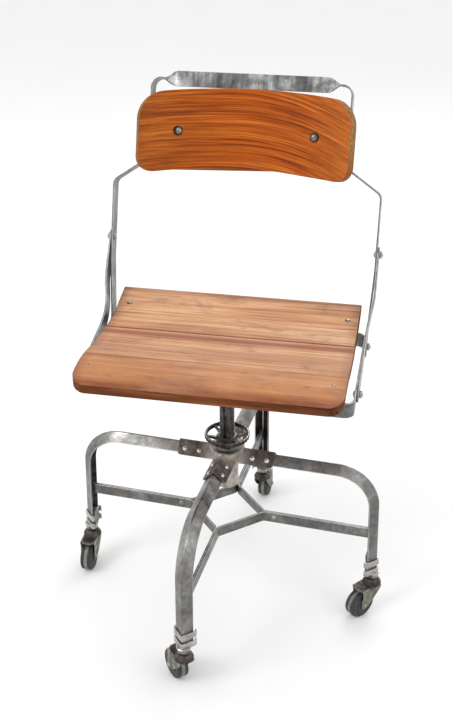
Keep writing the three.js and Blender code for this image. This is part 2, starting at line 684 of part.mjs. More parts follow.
// A point of the leaning plane: x across, up along the lean, ahead towards the sitter.
function lean(x, up, ahead = 0) {
  const s = Math.sin(rad(LEAN));
  const c = Math.cos(rad(LEAN));
  return vec(x, BACK_PIVOT.y + up * s - ahead * c, BACK_PIVOT.z + up * c + ahead * s);
}

const AHEAD = vec(0, -Math.cos(rad(LEAN)), Math.sin(rad(LEAN)));
const UP_LEAN = vec(0, Math.sin(rad(LEAN)), Math.cos(rad(LEAN)));
const uprightFoot = () => RING.width / 2 + GAP + BAR.thickness / 2;

// The right half of the back frame's bar, in (x, up the lean), from its foot to the twisted top.
function backFrameLine() {
  const foot = uprightFoot();
  const corners = [
    [foot, -UPRIGHT_TAIL], [foot, 26], [UPRIGHT_SPREAD, 120], [UPRIGHT_SPREAD, SHOULDER_UP],
    [NECK_SPREAD, NECK_UP], [NECK_SPREAD, TOP_BAR_UP], [0, TOP_BAR_UP],
  ];
  const bent = bentLine(corners, [60, 60, 14, 14, TOP_BEND_RADIUS], 18).slice(0, -1);
  const twist = Array.from({ length: 6 }, (_, i) => {
    const x = twistStart() - ((i + 1) * TWIST_LENGTH) / 6;
    return { x, y: TOP_BAR_UP, nx: 0, ny: -1 };
  });
  return [...bent, ...twist];
}

const twistStart = () => NECK_SPREAD - TOP_BEND_RADIUS;

// Quarter turns of the bar at a point of its line: none on the uprights, one on the top bar.
function twistAt({ x, y }) {
  if (y < TOP_BAR_UP - 0.01) return 0;
  return THREE.MathUtils.clamp((twistStart() - Math.abs(x)) / TWIST_LENGTH, 0, 1);
}

// One flat bar: both uprights stand edge to the front, and the top is twisted to face the front.
function backFrame() {
  const line = backFrameLine();
  const mirror = line.map((p) => ({ x: -p.x, y: p.y, nx: -p.nx, ny: p.ny })).reverse();
  const station = (p) => {
    const a = (twistAt(p) * Math.PI) / 2;
    const across = vec(p.nx, 0, 0).addScaledVector(UP_LEAN, p.ny);
    const wide = AHEAD.clone().multiplyScalar(Math.cos(a)).addScaledVector(across, Math.sin(a));
    const thick = AHEAD.clone().multiplyScalar(-Math.sin(a)).addScaledVector(across, Math.cos(a));
    return { at: lean(p.x, p.y), u: wide, v: thick };
  };
  const bar = sweep(barSection(), [...line, ...mirror].map(station));
  const places = [lean(0, 0), lean(0, BRACE_BOLT_UP), strapBoltPlace()];
  return cut(bar, ...places.map((p) => boltHole([p.y, p.z])));
}

function barSection() {
  const w = BAR.width / 2;
  const t = BAR.thickness / 2;
  return [[-w, -t], [w, -t], [w, t], [-w, t]];
}

// A bolt's hole along X through both sides of the chair.
const boltHole = (at) => rod("x", BOLT.radius + HOLE_CLEARANCE, -300, 300, at, 12);

// Side brace from the upright's bolt, round a knee, to the front bolt of the ring.
function brace() {
  const bolt = lean(0, BRACE_BOLT_UP);
  const top = [bolt.y, bolt.z];
  const front = [BRACE_FRONT_BOLT.y, BRACE_FRONT_BOLT.z];
  const knee = [BRACE_KNEE.y, BRACE_KNEE.z];
  const ends = [extended(knee, front, BRACE_TAIL), extended(knee, top, BRACE_TAIL)];
  const line = subdivided(bentLine([ends[0], knee, ends[1]], BRACE_BEND_RADIUS, 10), 18);
  const station = (p) => ({ at: vec(braceX(p.y), p.x, p.y), u: vec(0, p.nx, p.ny), v: vec(1, 0, 0) });
  const bar = sweep(barSection(), line.map(station));
  const between = strip(bentLine([front, knee, top], BRACE_BEND_RADIUS, 10), BAR.width + 1);
  const outline = slab("x", between, 150, 300);
  const end = (at) => rod("x", BAR.width / 2, 150, 300, at, 16);
  return cut(bar.intersect(union(outline, end(top), end(front))), boltHole(top), boltHole(front));
}

// A point a distance past the second of two points.
function extended(from, to, by) {
  const length = Math.hypot(to[0] - from[0], to[1] - from[1]);
  return [to[0] + ((to[0] - from[0]) / length) * by, to[1] + ((to[1] - from[1]) / length) * by];
}

// The brace lies on the ring's side, then steps out past the upright as it rises.
function braceX(height) {
  const low = uprightFoot() + GAP / 2;
  const high = UPRIGHT_SPREAD + BAR.thickness + GAP;
  const t = (height - BRACE_KNEE.z) / BRACE_STEP_RISE;
  return low + (high - low) * THREE.MathUtils.smoothstep(t, 0, 1);
}

// Bolt along X with its head inside and its nut outside, through a stack of bars.
function frameBolt({ y, z }, stackFrom, stackTo) {
  const b = BOLT;
  const head = circle(b.head, 10, y, z);
  const nut = circle(b.nut, 6, y, z);
  const from = stackFrom - GAP;
  const to = stackTo + GAP;
  return union(
    slab("x", head, from - b.headHeight, from),
    rod("x", b.radius, from - 1, to + b.nutHeight + b.tail, [y, z], 8),
    slab("x", nut, to, to + b.nutHeight),
  );
}

// The panel's outline before it is bent: a rounded rectangle with its long edges arched upwards.
function backrestOutline() {
  const { width, height, arch } = BACKREST;
  const { lower, upper } = BACKREST_CORNER;
  const [w, h] = [width / 2, height / 2];
  const flat = roundedRectangle(-w, w, -h, h, [lower, lower, upper, upper], 7);
  const edge = (y, reach) => Array.from({ length: 11 }, (_, i) => [reach * (i / 5 - 1), y]);
  const angle = ([x, y]) => Math.atan2(y, x);
  const all = [...flat, ...edge(-h, w - lower), ...edge(h, w - upper)];
  const sorted = all.sort((a, b) => angle(a) - angle(b));
  const apart = (a, b) => Math.hypot(a[0] - b[0], a[1] - b[1]) > 0.5;
  const outline = sorted.filter((p, i) => i === 0 || apart(p, sorted[i - 1]));
  return outline.map(([x, y]) => [x, y + arch * (0.5 - (x / w) ** 2)]);
}

// How far ahead of the frame's plane the bent panel lies, at a place across and a depth in it.
function hollow(x, depth) {
  const { radius } = BACKREST;
  return BACKREST_FORWARD + radius - Math.sqrt((radius + depth) ** 2 - x * x);
}

// Bends a flat shape, drawn in (along the curve, up, depth behind the face), round the back.
function bentRoundBack([along, up, behind]) {
  const { radius } = BACKREST;
  const angle = along / radius;
  const r = radius - behind;
  return [r * Math.sin(angle), up + BACKREST_UP, BACKREST_FORWARD + radius - r * Math.cos(angle)];
}

// A curved slice between two depths behind the front face, as wide as asked.
function curvedSlice(halfWidth, fromUp, toUp, nearDepth, farDepth) {
  const steps = 16;
  const edge = (depth) => Array.from({ length: steps + 1 }, (_, i) => {
    const x = -halfWidth + (2 * halfWidth * i) / steps;
    return [x, hollow(x, depth)];
  });
  const section = [...edge(farDepth), ...edge(nearDepth).reverse()];
  const stations = [fromUp, toUp].map((up) => ({ at: lean(0, up), u: vec(1, 0, 0), v: AHEAD }));
  return sweep(section, stations);
}

// Turns a shape drawn in (x, up, ahead) of the leaning plane into the chair's frame.
function intoLean(shape) {
  const frame = new THREE.Matrix4().makeBasis(vec(1, 0, 0), UP_LEAN, AHEAD);
  return shape.transform(frame.setPosition(lean(0, 0)).elements);
}

function backrest() {
  const flat = slab("z", backrestOutline(), -BACKREST.thickness, 0).refineToLength(22);
  const bent = flat.warp((point) => {
    const at = bentRoundBack(point);
    point.splice(0, 3, ...at);
  });
  const bolt = BACKREST_BOLT;
  const face = hollow(bolt.x, 0);
  const tools = onBothSides((side) => {
    const at = [side * bolt.x, BACKREST_UP];
    return [
      rod("z", bolt.radius + HOLE_CLEARANCE, face - 40, face + 20, at, 12),
      rod("z", bolt.recess, face - bolt.recessDepth, face + 20, at, 20),
    ];
  });
  return intoLean(cut(bent, ...tools));
}

function backrestBolt() {
  const b = BACKREST_BOLT;
  const at = [b.x, BACKREST_UP];
  const face = hollow(b.x, 0) - b.recessDepth + GAP;
  const rear = hollow(b.x - b.head, BACKREST.thickness) - STRAP.thickness - 2 * GAP - 1;
  return intoLean(union(
    rod("z", b.head, face, face + 2.2, at, 12),
    rod("z", b.radius, rear - BOLT.nutHeight - BOLT.tail, face + 1, at, 12),
    slab("z", circle(BOLT.nut, 6, at[0], at[1]), rear - BOLT.nutHeight, rear),
  ));
}

// Strap across the back of the panel, with tabs turned back along the uprights.
function backStrap() {
  const end = NECK_SPREAD - BAR.thickness / 2 - GAP;
  const [low, high] = [BACKREST_UP - STRAP.width / 2, BACKREST_UP + STRAP.width / 2];
  const t = STRAP.thickness;
  const near = BACKREST.thickness + GAP;
  const band = curvedSlice(end, low, high, near, near + t);
  const front = hollow(end, near + t / 2);
  const tab = (x) => box(x, x + t, low, high, front - STRAP.tab, front);
  const hole = (at) => rod("z", BACKREST_BOLT.radius + HOLE_CLEARANCE, -40, 60, at, 12);
  const holes = onBothSides((side) => hole([side * BACKREST_BOLT.x, BACKREST_UP]));
  const strap = union(band, intoLean(union(tab(end - t), tab(-end))));
  const bolt = strapBoltPlace();
  return cut(strap, ...holes.map(intoLean), boltHole([bolt.y, bolt.z]));
}

const strapBoltPlace = () => lean(0, BACKREST_UP, 3);

// ---------------------------------------------------------------- assembly

function addBase(chair) {
  const base = new THREE.Group();
  base.rotation.z = rad(BASE_TURN);
  chair.add(base);
  piece(base, "hub_spider", hubSpider(), "hub");
  piece(base, "hub_tube", hubTube(), "hub");
  piece(base, "guide_key", guideKey(), "hub");
  piece(base, "thrust_washer", thrustWasher(), "steel");
  for (const [place, direction] of Object.entries(LEG_DIRECTIONS)) {
    piece(base, `leg_${place}`, turnedAbout(leg(place), direction), "steel");
    piece(base, `stretcher_bar_${place}`, turnedAbout(stretcher(), direction), "steel");
    piece(base, `stretcher_rivet_${place}`, turnedAbout(stretcherRivet(), direction), "bolt");
    addCaster(base, place, direction);
  }
  return base;
}

function addCaster(base, place, direction) {
  const stem = new THREE.Group();
  const angle = rad(direction);
  stem.rotation.z = angle;
  stem.position.set(STEM_CIRCLE_RADIUS * Math.cos(angle), STEM_CIRCLE_RADIUS * Math.sin(angle), 0);
  base.add(stem);
  piece(stem, `caster_socket_${place}`, casterSocket(), "zinc");
  const swivel = new THREE.Group();
  swivel.rotation.z = rad(CASTER_ANGLES[place]);
  stem.add(swivel);
  piece(swivel, `caster_fork_${place}`, casterFork(), "zinc");
  piece(swivel, `caster_wheel_${place}`, casterWheel(), "wheel");
  piece(swivel, `caster_axle_${place}`, casterAxle(), "bolt");
}

function addLift(base) {
  piece(base, "lift_screw", liftScrew(), "screw");
  piece(base, "handwheel", handwheel(), "screw");
}

function addSeat(chair) {
  piece(chair, "seat_bearing", seatBearing(), "hub");
  piece(chair, "seat_carrier", seatCarrier(), "steel");
  piece(chair, "seat_ring", seatRing(), "steel");
  piece(chair, "seat_cleat_left", seatCleat(-1), "seatWood");
  piece(chair, "seat_cleat_right", seatCleat(1), "seatWood");
  piece(chair, "seat_board_rear", seatBoard(SEAT_SEAM + GAP / 2, SEAT_REAR), "seatWood");
  piece(chair, "seat_board_front", seatBoard(SEAT_FRONT, SEAT_SEAM - GAP / 2), "seatWood");
  for (const place of seatScrewPlaces()) {
    const name = `seat_screw_${place.y > 0 ? "rear" : "front"}_${place.x > 0 ? "right" : "left"}`;
    piece(chair, name, seatScrew(place), "bolt");
  }
}

function addBack(chair) {
  piece(chair, "back_frame", backFrame(), "steel");
  piece(chair, "back_strap", backStrap(), "steel");
  piece(chair, "backrest", backrest(), "backWood");
  addPair(chair, "brace", brace(), "steel");
  for (const [name, bolt] of Object.entries(backBolts())) addPair(chair, name, bolt, "bolt");
}

// A piece of the right side and its mirror image on the left.
function addPair(chair, name, shape, look) {
  piece(chair, `${name}_right`, shape, look);
  piece(chair, `${name}_left`, shape.mirror([1, 0, 0]), look);
}

// The bolts of the right side, each through the bars it holds together.
function backBolts() {
  const t = BAR.thickness;
  const ringSide = RING.width / 2 - t;
  const frameSide = uprightFoot() + t / 2;
  const uprightSide = UPRIGHT_SPREAD - t / 2;
  return {
    frame_bolt_rear: frameBolt(BACK_PIVOT, ringSide, frameSide),
    frame_bolt_front: frameBolt(BRACE_FRONT_BOLT, ringSide, frameSide + GAP),
    frame_bolt_top: frameBolt(lean(0, BRACE_BOLT_UP), uprightSide, uprightSide + 2 * t + GAP),
    strap_bolt: frameBolt(strapBoltPlace(), NECK_SPREAD - t * 1.5 - GAP, NECK_SPREAD + t / 2),
    backrest_bolt: backrestBolt(),
  };
}

const chair = new THREE.Group();
const base = addBase(chair);
addLift(base);
addSeat(chair);
addBack(chair);

chair.updateMatrixWorld(true);
const bounds = new THREE.Box3().setFromObject(chair, true);
chair.position.set(-(bounds.min.x + bounds.max.x) / 2, -(bounds.min.y + bounds.max.y) / 2, 0);

export default chair;
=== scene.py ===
# Looks of the drafting chair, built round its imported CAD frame. Lengths below are in millimetres
# about the lift screw's axis, with the floor at z = 0; make() turns them into metres.
import json
import math

import bmesh
import bpy
from mathutils import Matrix, Vector


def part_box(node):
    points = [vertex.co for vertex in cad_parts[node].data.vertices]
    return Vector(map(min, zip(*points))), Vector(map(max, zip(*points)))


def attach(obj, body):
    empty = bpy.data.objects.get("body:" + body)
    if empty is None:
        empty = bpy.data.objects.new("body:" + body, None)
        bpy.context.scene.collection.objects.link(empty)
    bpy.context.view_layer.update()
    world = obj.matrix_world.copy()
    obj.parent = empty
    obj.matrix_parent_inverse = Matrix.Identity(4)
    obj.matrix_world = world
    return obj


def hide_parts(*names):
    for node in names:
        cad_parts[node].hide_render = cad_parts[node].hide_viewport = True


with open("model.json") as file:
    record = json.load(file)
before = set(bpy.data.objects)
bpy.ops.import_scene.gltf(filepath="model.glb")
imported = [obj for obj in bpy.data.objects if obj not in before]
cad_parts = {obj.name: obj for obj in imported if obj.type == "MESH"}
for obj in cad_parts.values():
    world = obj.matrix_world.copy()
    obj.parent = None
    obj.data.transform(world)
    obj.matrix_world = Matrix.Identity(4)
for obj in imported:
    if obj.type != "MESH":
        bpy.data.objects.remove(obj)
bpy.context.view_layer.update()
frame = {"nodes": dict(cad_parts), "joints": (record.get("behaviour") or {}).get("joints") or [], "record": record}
MM = 0.001
JOINTS = {j["name"]: j for j in frame["joints"]}
AXIS = Vector(JOINTS["seat_swivel"]["pos_m"]) / MM
AXIS.z = 0.0
BODY_OF = {n: b for b, ns in frame["record"]["behaviour"]["bodies"].items() for n in ns}

# Sizes shared with the CAD part
BASE_TURN = math.radians(-4.63)
BAR_W, BAR_T = 25.0, 3.0
LEG_TOP, LEG_REACH, LEG_FOOT, LEG_SPLAY = 290.5, 260.0, 82.5, math.radians(1.8)
LEG_BENDS = {"front": 96.0, "right": 73.0, "rear": 73.0, "left": 73.0}
LEG_ANGLES = {"front": -90.0, "right": 0.0, "rear": 90.0, "left": 180.0}
FLANGE, FLANGE_T = 20.5, 3.0
STEM_CIRCLE = 258.7
LEG_INNER_END = 24.0
STRETCHER_RIVET_OUT, STRETCHER_RIVET_UP = 83.0, 161.3
TRAIL, WHEEL_R, WHEEL_W = 26.5, 25.4, 22.5
CHEEK_GAP, CHEEK_T = 0.8, 1.8
CASTER_TOP = 67.7
SCREW_R, SCREW_FOOT, SCREW_TOP = 12.35, 228.5, 401.5
JOURNAL_R, JOURNAL_H = 9.0, 34.0
KEY_W, KEY_D = 5.0, 3.2
PITCH = 3.175
WHEEL_TOP, RIM_R, RIM_H, LOBES = 319.5, 37.75, 7.5, 28
SPOKES, FIRST_SPOKE = 6, 23.0
LEAN = math.radians(18.4)
PIVOT_Y, PIVOT_Z = 92.0, 454.5
RING_HALF = 214.5
SPREAD, NECK = 220.9, 163.2
SHOULDER_UP, NECK_UP, TOP_UP, BRACE_UP = 247.0, 286.0, 415.0, 152.0
TOP_BEND, TWIST_LENGTH = 16.0, 30.0
BRACE_FRONT, BRACE_KNEE, BRACE_BEND, BRACE_STEP_RISE = (-71.0, 457.5), (64.0, 485.5), 100.0, 60.0
PANEL_UP, PANEL_W, PANEL_H, PANEL_T = 331.0, 351.0, 126.0, 16.0
PANEL_R, PANEL_AHEAD, PANEL_ARCH = 350.0, 18.5, 16.0
PANEL_LOWER_CORNER, PANEL_UPPER_CORNER = 28.0, 38.0
PANEL_BOLT_X = 110.0
SEAT_HALF, SEAT_T, SEAT_REAR, SEAT_FRONT, SEAM = 203.0, 14.0, 128.0, -182.0, 10.0
SEAT_LOW, REAR_RISE, FRONT_RISE, SEAT_CORNER = 494.5, 18.5, 12.0, 24.0

# Sizes of what only the visible model shows
SADDLE_RIVETS = (46.0, 71.0)  # out along the arm
SADDLE_RIVET_DOWN, SADDLE_FACE = 13.6, 2.9  # from the ridge down the flange, and out to its face
THREAD_DEPTH, THREAD_STEP = 1.25, 0.45
BOLT_R, NUT_R = 3.0, 6.4
RECESS_R, RECESS_D = 8.3, 2.5

V = Vector
AHEAD = V((0, -math.cos(LEAN), math.sin(LEAN)))
UP = V((0, math.sin(LEAN), math.cos(LEAN)))


def lean(x, up, ahead=0.0):
    """A point of the plane of the back frame."""
    return V((x, PIVOT_Y, PIVOT_Z)) + UP * up + AHEAD * ahead


# ------------------------------------------------------------------ materials

class Graph:
    """A material's node tree, with short ways to add and link nodes."""

    def __init__(self, name):
        self.mat = bpy.data.materials.new(name)
        self.mat.use_nodes = True
        self.tree = self.mat.node_tree
        self.bsdf = self.tree.nodes["Principled BSDF"]

    def node(self, kind, inputs=None, **settings):
        n = self.tree.nodes.new(kind)
        for key, value in settings.items():
            setattr(n, key, value)
        for key, value in (inputs or {}).items():
            self.put(n.inputs[key], value)
        return n

    def put(self, socket, value):
        if isinstance(value, bpy.types.NodeSocket):
            self.tree.links.new(value, socket)
        else:
            socket.default_value = value

    def place(self, scale=(1, 1, 1), turn=(0, 0, 0), move=(0, 0, 0)):
        at = self.node("ShaderNodeTexCoord").outputs["Object"]
        inputs = {"Vector": at, "Scale": scale, "Rotation": turn, "Location": move}
        return self.node("ShaderNodeMapping", inputs).outputs["Vector"]

    def noise(self, at, scale, detail=6.0, rough=0.6, warp=0.0):
        inputs = {"Vector": at, "Scale": scale, "Detail": detail, "Roughness": rough, "Distortion": warp}
        return self.node("ShaderNodeTexNoise", inputs).outputs["Fac"]

    def ramp(self, fac, stops):
        n = self.node("ShaderNodeValToRGB", {"Fac": fac})
        ramp = n.color_ramp
        while len(ramp.elements) < len(stops):
            ramp.elements.new(0.5)
        for element, (at, colour) in zip(ramp.elements, stops):
            element.position = at
            element.color = (*colour, 1)
        return n.outputs["Color"]

    def mix(self, fac, a, b):
        n = self.node("ShaderNodeMix", data_type="RGBA")
        for i, value in ((0, fac), (6, a), (7, b)):
            if isinstance(value, tuple) and len(value) == 3:
                value = (*value, 1)
            self.put(n.inputs[i], value)
        return n.outputs[2]

    def maths(self, op, a, b=0.0):
        n = self.node("ShaderNodeMath", operation=op)
        self.put(n.inputs[0], a)
        self.put(n.inputs[1], b)
        return n.outputs[0]

    def times(self, a, b):
        return self.maths("MULTIPLY", a, b)

    def glaze(self, base, where, strength, colour):
        """The base with a colour laid over part of it."""
        return self.mix(self.times(where, strength), base, colour)

    def apart(self, value, centre):
        """How far a value lies from a centre."""
        return self.maths("ABSOLUTE", self.maths("SUBTRACT", value, centre))

    def split(self, vector):
        return self.node("ShaderNodeSeparateXYZ", {"Vector": vector}).outputs

    def position(self):
        return self.split(self.node("ShaderNodeTexCoord").outputs["Object"])

    def upward(self):
        """The height of the surface's normal: 1 on top, -1 underneath."""
        return self.split(self.node("ShaderNodeNewGeometry").outputs["Normal"])[2]

    def between(self, value, low, high, out_low=0.0, out_high=1.0):
        inputs = {"Value": value, "From Min": low, "From Max": high, "To Min": out_low, "To Max": out_high}
        return self.node("ShaderNodeMapRange", inputs, clamp=True).outputs["Result"]

    def bump(self, height, strength, distance=0.0004, normal=None):
        inputs = {"Height": height, "Strength": strength, "Distance": distance}
        if normal is not None:
            inputs["Normal"] = normal
        return self.node("ShaderNodeBump", inputs).outputs["Normal"]

    def finish(self, colour, rough, normal, metal=0.0, **fixed):
        self.put(self.bsdf.inputs["Base Color"], colour)
        self.put(self.bsdf.inputs["Roughness"], rough)
        self.put(self.bsdf.inputs["Normal"], normal)
        self.bsdf.inputs["Metallic"].default_value = metal
        for key, value in fixed.items():
            self.bsdf.inputs[key.replace("_", " ")].default_value = value
        return self.mat


def steel(name, tones, rough=(0.3, 0.55), blotch=38.0, patina=(0.20, 0.14, 0.09), stain=0.45, metal=0.9,
          streak=(1, 1, 1), spread=0.16, tint=None):
    """Bare mottled steel: blotches, a brown stain, painted shade on the undersides, fine scratches and pits."""
    g = Graph(name)
    dark, mid, light = tones
    at = g.place()
    cloud = g.noise(at, blotch, 8, 0.62, 0.4)
    smear = g.noise(g.place(scale=streak, move=(0.3, 0.1, 0.7)), 130, 6, 0.7, 0.3)
    tone = g.maths("ADD", g.times(cloud, 0.6), g.times(smear, 0.4))
    base = g.ramp(tone, [(0.5 - spread, dark), (0.5, mid), (0.5 + spread, light)])
    where = g.between(g.noise(g.place(move=(2, 5, 1)), blotch * 1.7, 5, 0.6), 0.5, 0.72, 0, stain)
    base = g.mix(where, base, patina)
    # Painted shade: faces that turn downwards are darkened towards the dark tone.
    downward_shade = g.between(g.upward(), 0.5, -0.35, 0, UNDERSIDE_SHADE)
    base = g.mix(downward_shade, base, tuple(c * 0.6 for c in dark))
    if tint:
        base = tint(g, base)
    fine = g.noise(at, 1500, 3, 0.6)
    scratch = g.noise(g.place(scale=(1, 9, 14), turn=(0.3, 0.2, 0.5)), 260, 4, 0.7)
    speck = g.between(g.noise(at, 620, 2, 0.5), 0.64, 0.74)
    base = g.glaze(base, speck, 0.55, tuple(c * 0.5 for c in dark))
    roughness = g.between(g.maths("ADD", cloud, g.times(fine, 0.3)), 0.45, 0.9, rough[1], rough[0])
    relief = g.bump(scratch, 0.12, 0.0002, g.bump(g.maths("SUBTRACT", fine, speck), 0.22, 0.0002))
    return g.finish(base, roughness, relief, metal)


def hub_tint(g, base):
    """The round body is worn brighter than the arms that reach from it."""
    x, y, _ = g.position()
    dx = g.maths("POWER", g.apart(x, AXIS.x * MM), 2.0)
    dy = g.maths("POWER", g.apart(y, AXIS.y * MM), 2.0)
    away = g.maths("SQRT", g.maths("ADD", dx, dy))
    rub = g.between(g.noise(g.place(move=(1, 6, 2)), 60, 6, 0.65, 0.3), 0.36, 0.64, 0.35, 1.0)
    worn = g.times(g.between(away, 0.050, 0.032), rub)
    return g.glaze(base, worn, 0.85, (0.60, 0.54, 0.48))


def wood(name, stops, across, along, bend=0.0, tint=None, rough=(0.42, 0.62), gloss=0.3, line=0.15,
         flow=(1, 0.3), stain=(0.1, 0.05, 0.03)):
    """Long grain along X: broad bands, lines, fine fibres and pores, with stains over them."""
    g = Graph(name)
    x, y, z = g.position()
    lines_z = z
    if bend:
        bow = g.times(g.maths("POWER", g.maths("MAXIMUM", g.maths("ADD", x, 0.02), 0.0), 2.0), bend)
        lines_z = g.maths("ADD", z, bow)
    at = g.node("ShaderNodeCombineXYZ", {"X": x, "Y": y, "Z": lines_z}).outputs[0]

    def grain(scale, stretch, detail, rough_, warp, shift=0.0):
        inputs = {"Vector": at, "Scale": (stretch, *flow), "Location": (shift, shift, 0)}
        return g.noise(g.node("ShaderNodeMapping", inputs).outputs[0], scale, detail, rough_, warp)

    broad = grain(across, along * 1.6, 4, 0.55, 0.25)
    lines = grain(across * 5, along * 0.30, 4, 0.62, 0.1, 3.1)
    fibre = grain(across * 15, along * 0.09, 3, 0.6, 0.0, 5.3)
    tone = g.maths("ADD", g.times(broad, 0.22), g.times(lines, 0.36))
    tone = g.maths("ADD", tone, g.times(fibre, 0.42))
    base = g.ramp(tone, stops)
    cut = g.between(grain(across * 7, along * 0.07, 2, 0.5, 0.0, 8.9), 0.55, 0.66)
    base = g.glaze(base, cut, line, stops[0][1])
    if tint:
        base = tint(g, base, x, y, z, grain)
    pores = g.between(grain(across * 26, along * 0.14, 3, 0.6, 0.0, 7.7), 0.60, 0.70)
    base = g.glaze(base, pores, 0.4, stain)
    cloud = g.noise(g.place(), 14, 6, 0.65)
    roughness = g.between(cloud, 0.35, 0.65, rough[0], rough[1])
    height = g.maths("SUBTRACT", g.times(fibre, 0.7), pores)
    relief = g.bump(height, 0.25, 0.0003, g.bump(lines, 0.12, 0.0004))
    return g.finish(base, roughness, relief, 0.0, Specular_IOR_Level=gloss)


def seat_tint(g, base, x, y, z, grain):
    """Browner towards the rolled front, reddish lines by the seam, darker towards the sides and along the roll,
    painted shade where the surface turns away from the top, and marks.
    """
    y0 = AXIS.y * MM

    def clouds(scale, move, *how):
        return g.noise(g.place(scale=scale, move=move), *how)

    def stripe(into, centre, inner, outer, low, high, strength, colour, shift):
        near = g.between(g.apart(y, y0 + centre), outer, inner)
        broken = g.between(grain(30, 0.05, 6, 0.7, 0.2, shift), low, high)
        return g.glaze(into, g.times(near, broken), strength, colour)

    front = g.between(y, y0 - 0.075, y0 - 0.15)
    cloud = clouds((0.45, 1, 1), (1.3, 0.4, 0), 16, 7, 0.7, 0.3)
    base = g.glaze(base, front, g.between(cloud, 0.3, 0.65, 0.35, 0.85), (0.43, 0.165, 0.055))
    dirt = g.between(clouds((0.6, 1.2, 1), (2.1, 4.4, 0), 20, 8, 0.75, 0.4), 0.51, 0.68)
    base = g.glaze(base, dirt, 0.6, (0.25, 0.115, 0.08))
    wash = g.between(clouds((0.35, 1, 1), (7, 1, 0), 12, 5, 0.65, 0.3), 0.5, 0.66)
    base = g.glaze(base, wash, 0.35, (0.50, 0.20, 0.075))
    base = stripe(base, 0.0112, 0.0010, 0.0034, 0.0, 0.2, 0.80, (0.16, 0.045, 0.022), 2.0)
    base = stripe(base, -0.004, 0.004, 0.012, 0.34, 0.50, 0.85, (0.30, 0.085, 0.045), 9.0)
    base = stripe(base, 0.123, 0.001, 0.009, 0.36, 0.60, 0.80, (0.13, 0.05, 0.03), 6.0)
    base = stripe(base, -0.055, 0.004, 0.022, 0.46, 0.62, 0.45, (0.28, 0.10, 0.06), 4.0)
    rim = g.between(g.apart(x, AXIS.x * MM), 0.185, 0.203)
    base = g.glaze(base, rim, g.between(cloud, 0.35, 0.6, 0.1, 0.65), (0.20, 0.08, 0.04))
    roll = g.between(y, y0 - 0.164, y0 - 0.176)
    base = g.glaze(base, roll, g.between(cloud, 0.35, 0.6, 0.45, 0.9), (0.20, 0.05, 0.015))
    # Painted shade: where the surface turns away from the top, it is darkened.
    turned_away_shade = g.between(g.upward(), 0.80, 0.55)
    base = g.glaze(base, turned_away_shade, 0.8, (0.11, 0.028, 0.008))
    spot = g.between(clouds((0.6, 1, 1), (4, 2, 0), 42, 3, 0.5), 0.69, 0.76)
    return g.glaze(base, spot, 0.55, (0.12, 0.05, 0.03))


def back_tint(g, base, x, y, z, grain):
    """Browner to the left, paler to the right, redder in the middle, with darker clouds."""
    across = g.maths("SUBTRACT", x, AXIS.x * MM)
    base = g.glaze(base, g.between(across, -0.04, -0.17), 0.45, (0.27, 0.085, 0.018))
    base = g.glaze(base, g.between(across, 0.09, 0.172), 0.30, (0.56, 0.20, 0.045))
    cloud = g.noise(g.place(scale=(0.6, 1, 1), move=(5, 1, 2)), 16, 6, 0.65, 0.3)
    return g.glaze(base, g.between(cloud, 0.48, 0.74), 0.45, (0.20, 0.045, 0.006))


def rim_tint(g, base, x, y, z, grain):
    """Pale ply on the ends and top of the panel, darker along its lower edge."""
    base = g.glaze(base, g.between(z, 0.765, 0.735), 0.85, (0.26, 0.07, 0.015))
    ply = g.noise(g.place(scale=(1, 1, 0.2), move=(3, 3, 3)), 150, 3, 0.6)
    return g.glaze(base, g.between(ply, 0.5, 0.62), 0.45, (0.25, 0.11, 0.035))


def rubber(name, low, high):
    """Hard rubber with dust and scuffs."""
    g = Graph(name)
    at = g.place()
    dust = g.noise(at, 90, 8, 0.7, 0.4)
    fine = g.noise(at, 1300, 3, 0.6)
    base = g.ramp(dust, [(0.35, low), (0.68, high)])
    scuff = g.between(g.noise(g.place(move=(3, 1, 2)), 240, 5, 0.7), 0.56, 0.7)
    base = g.glaze(base, scuff, 0.35, (0.22, 0.21, 0.2))
    relief = g.bump(g.maths("ADD", fine, dust), 0.2, 0.0003)
    return g.finish(base, g.between(dust, 0.3, 0.7, 0.45, 0.7), relief)


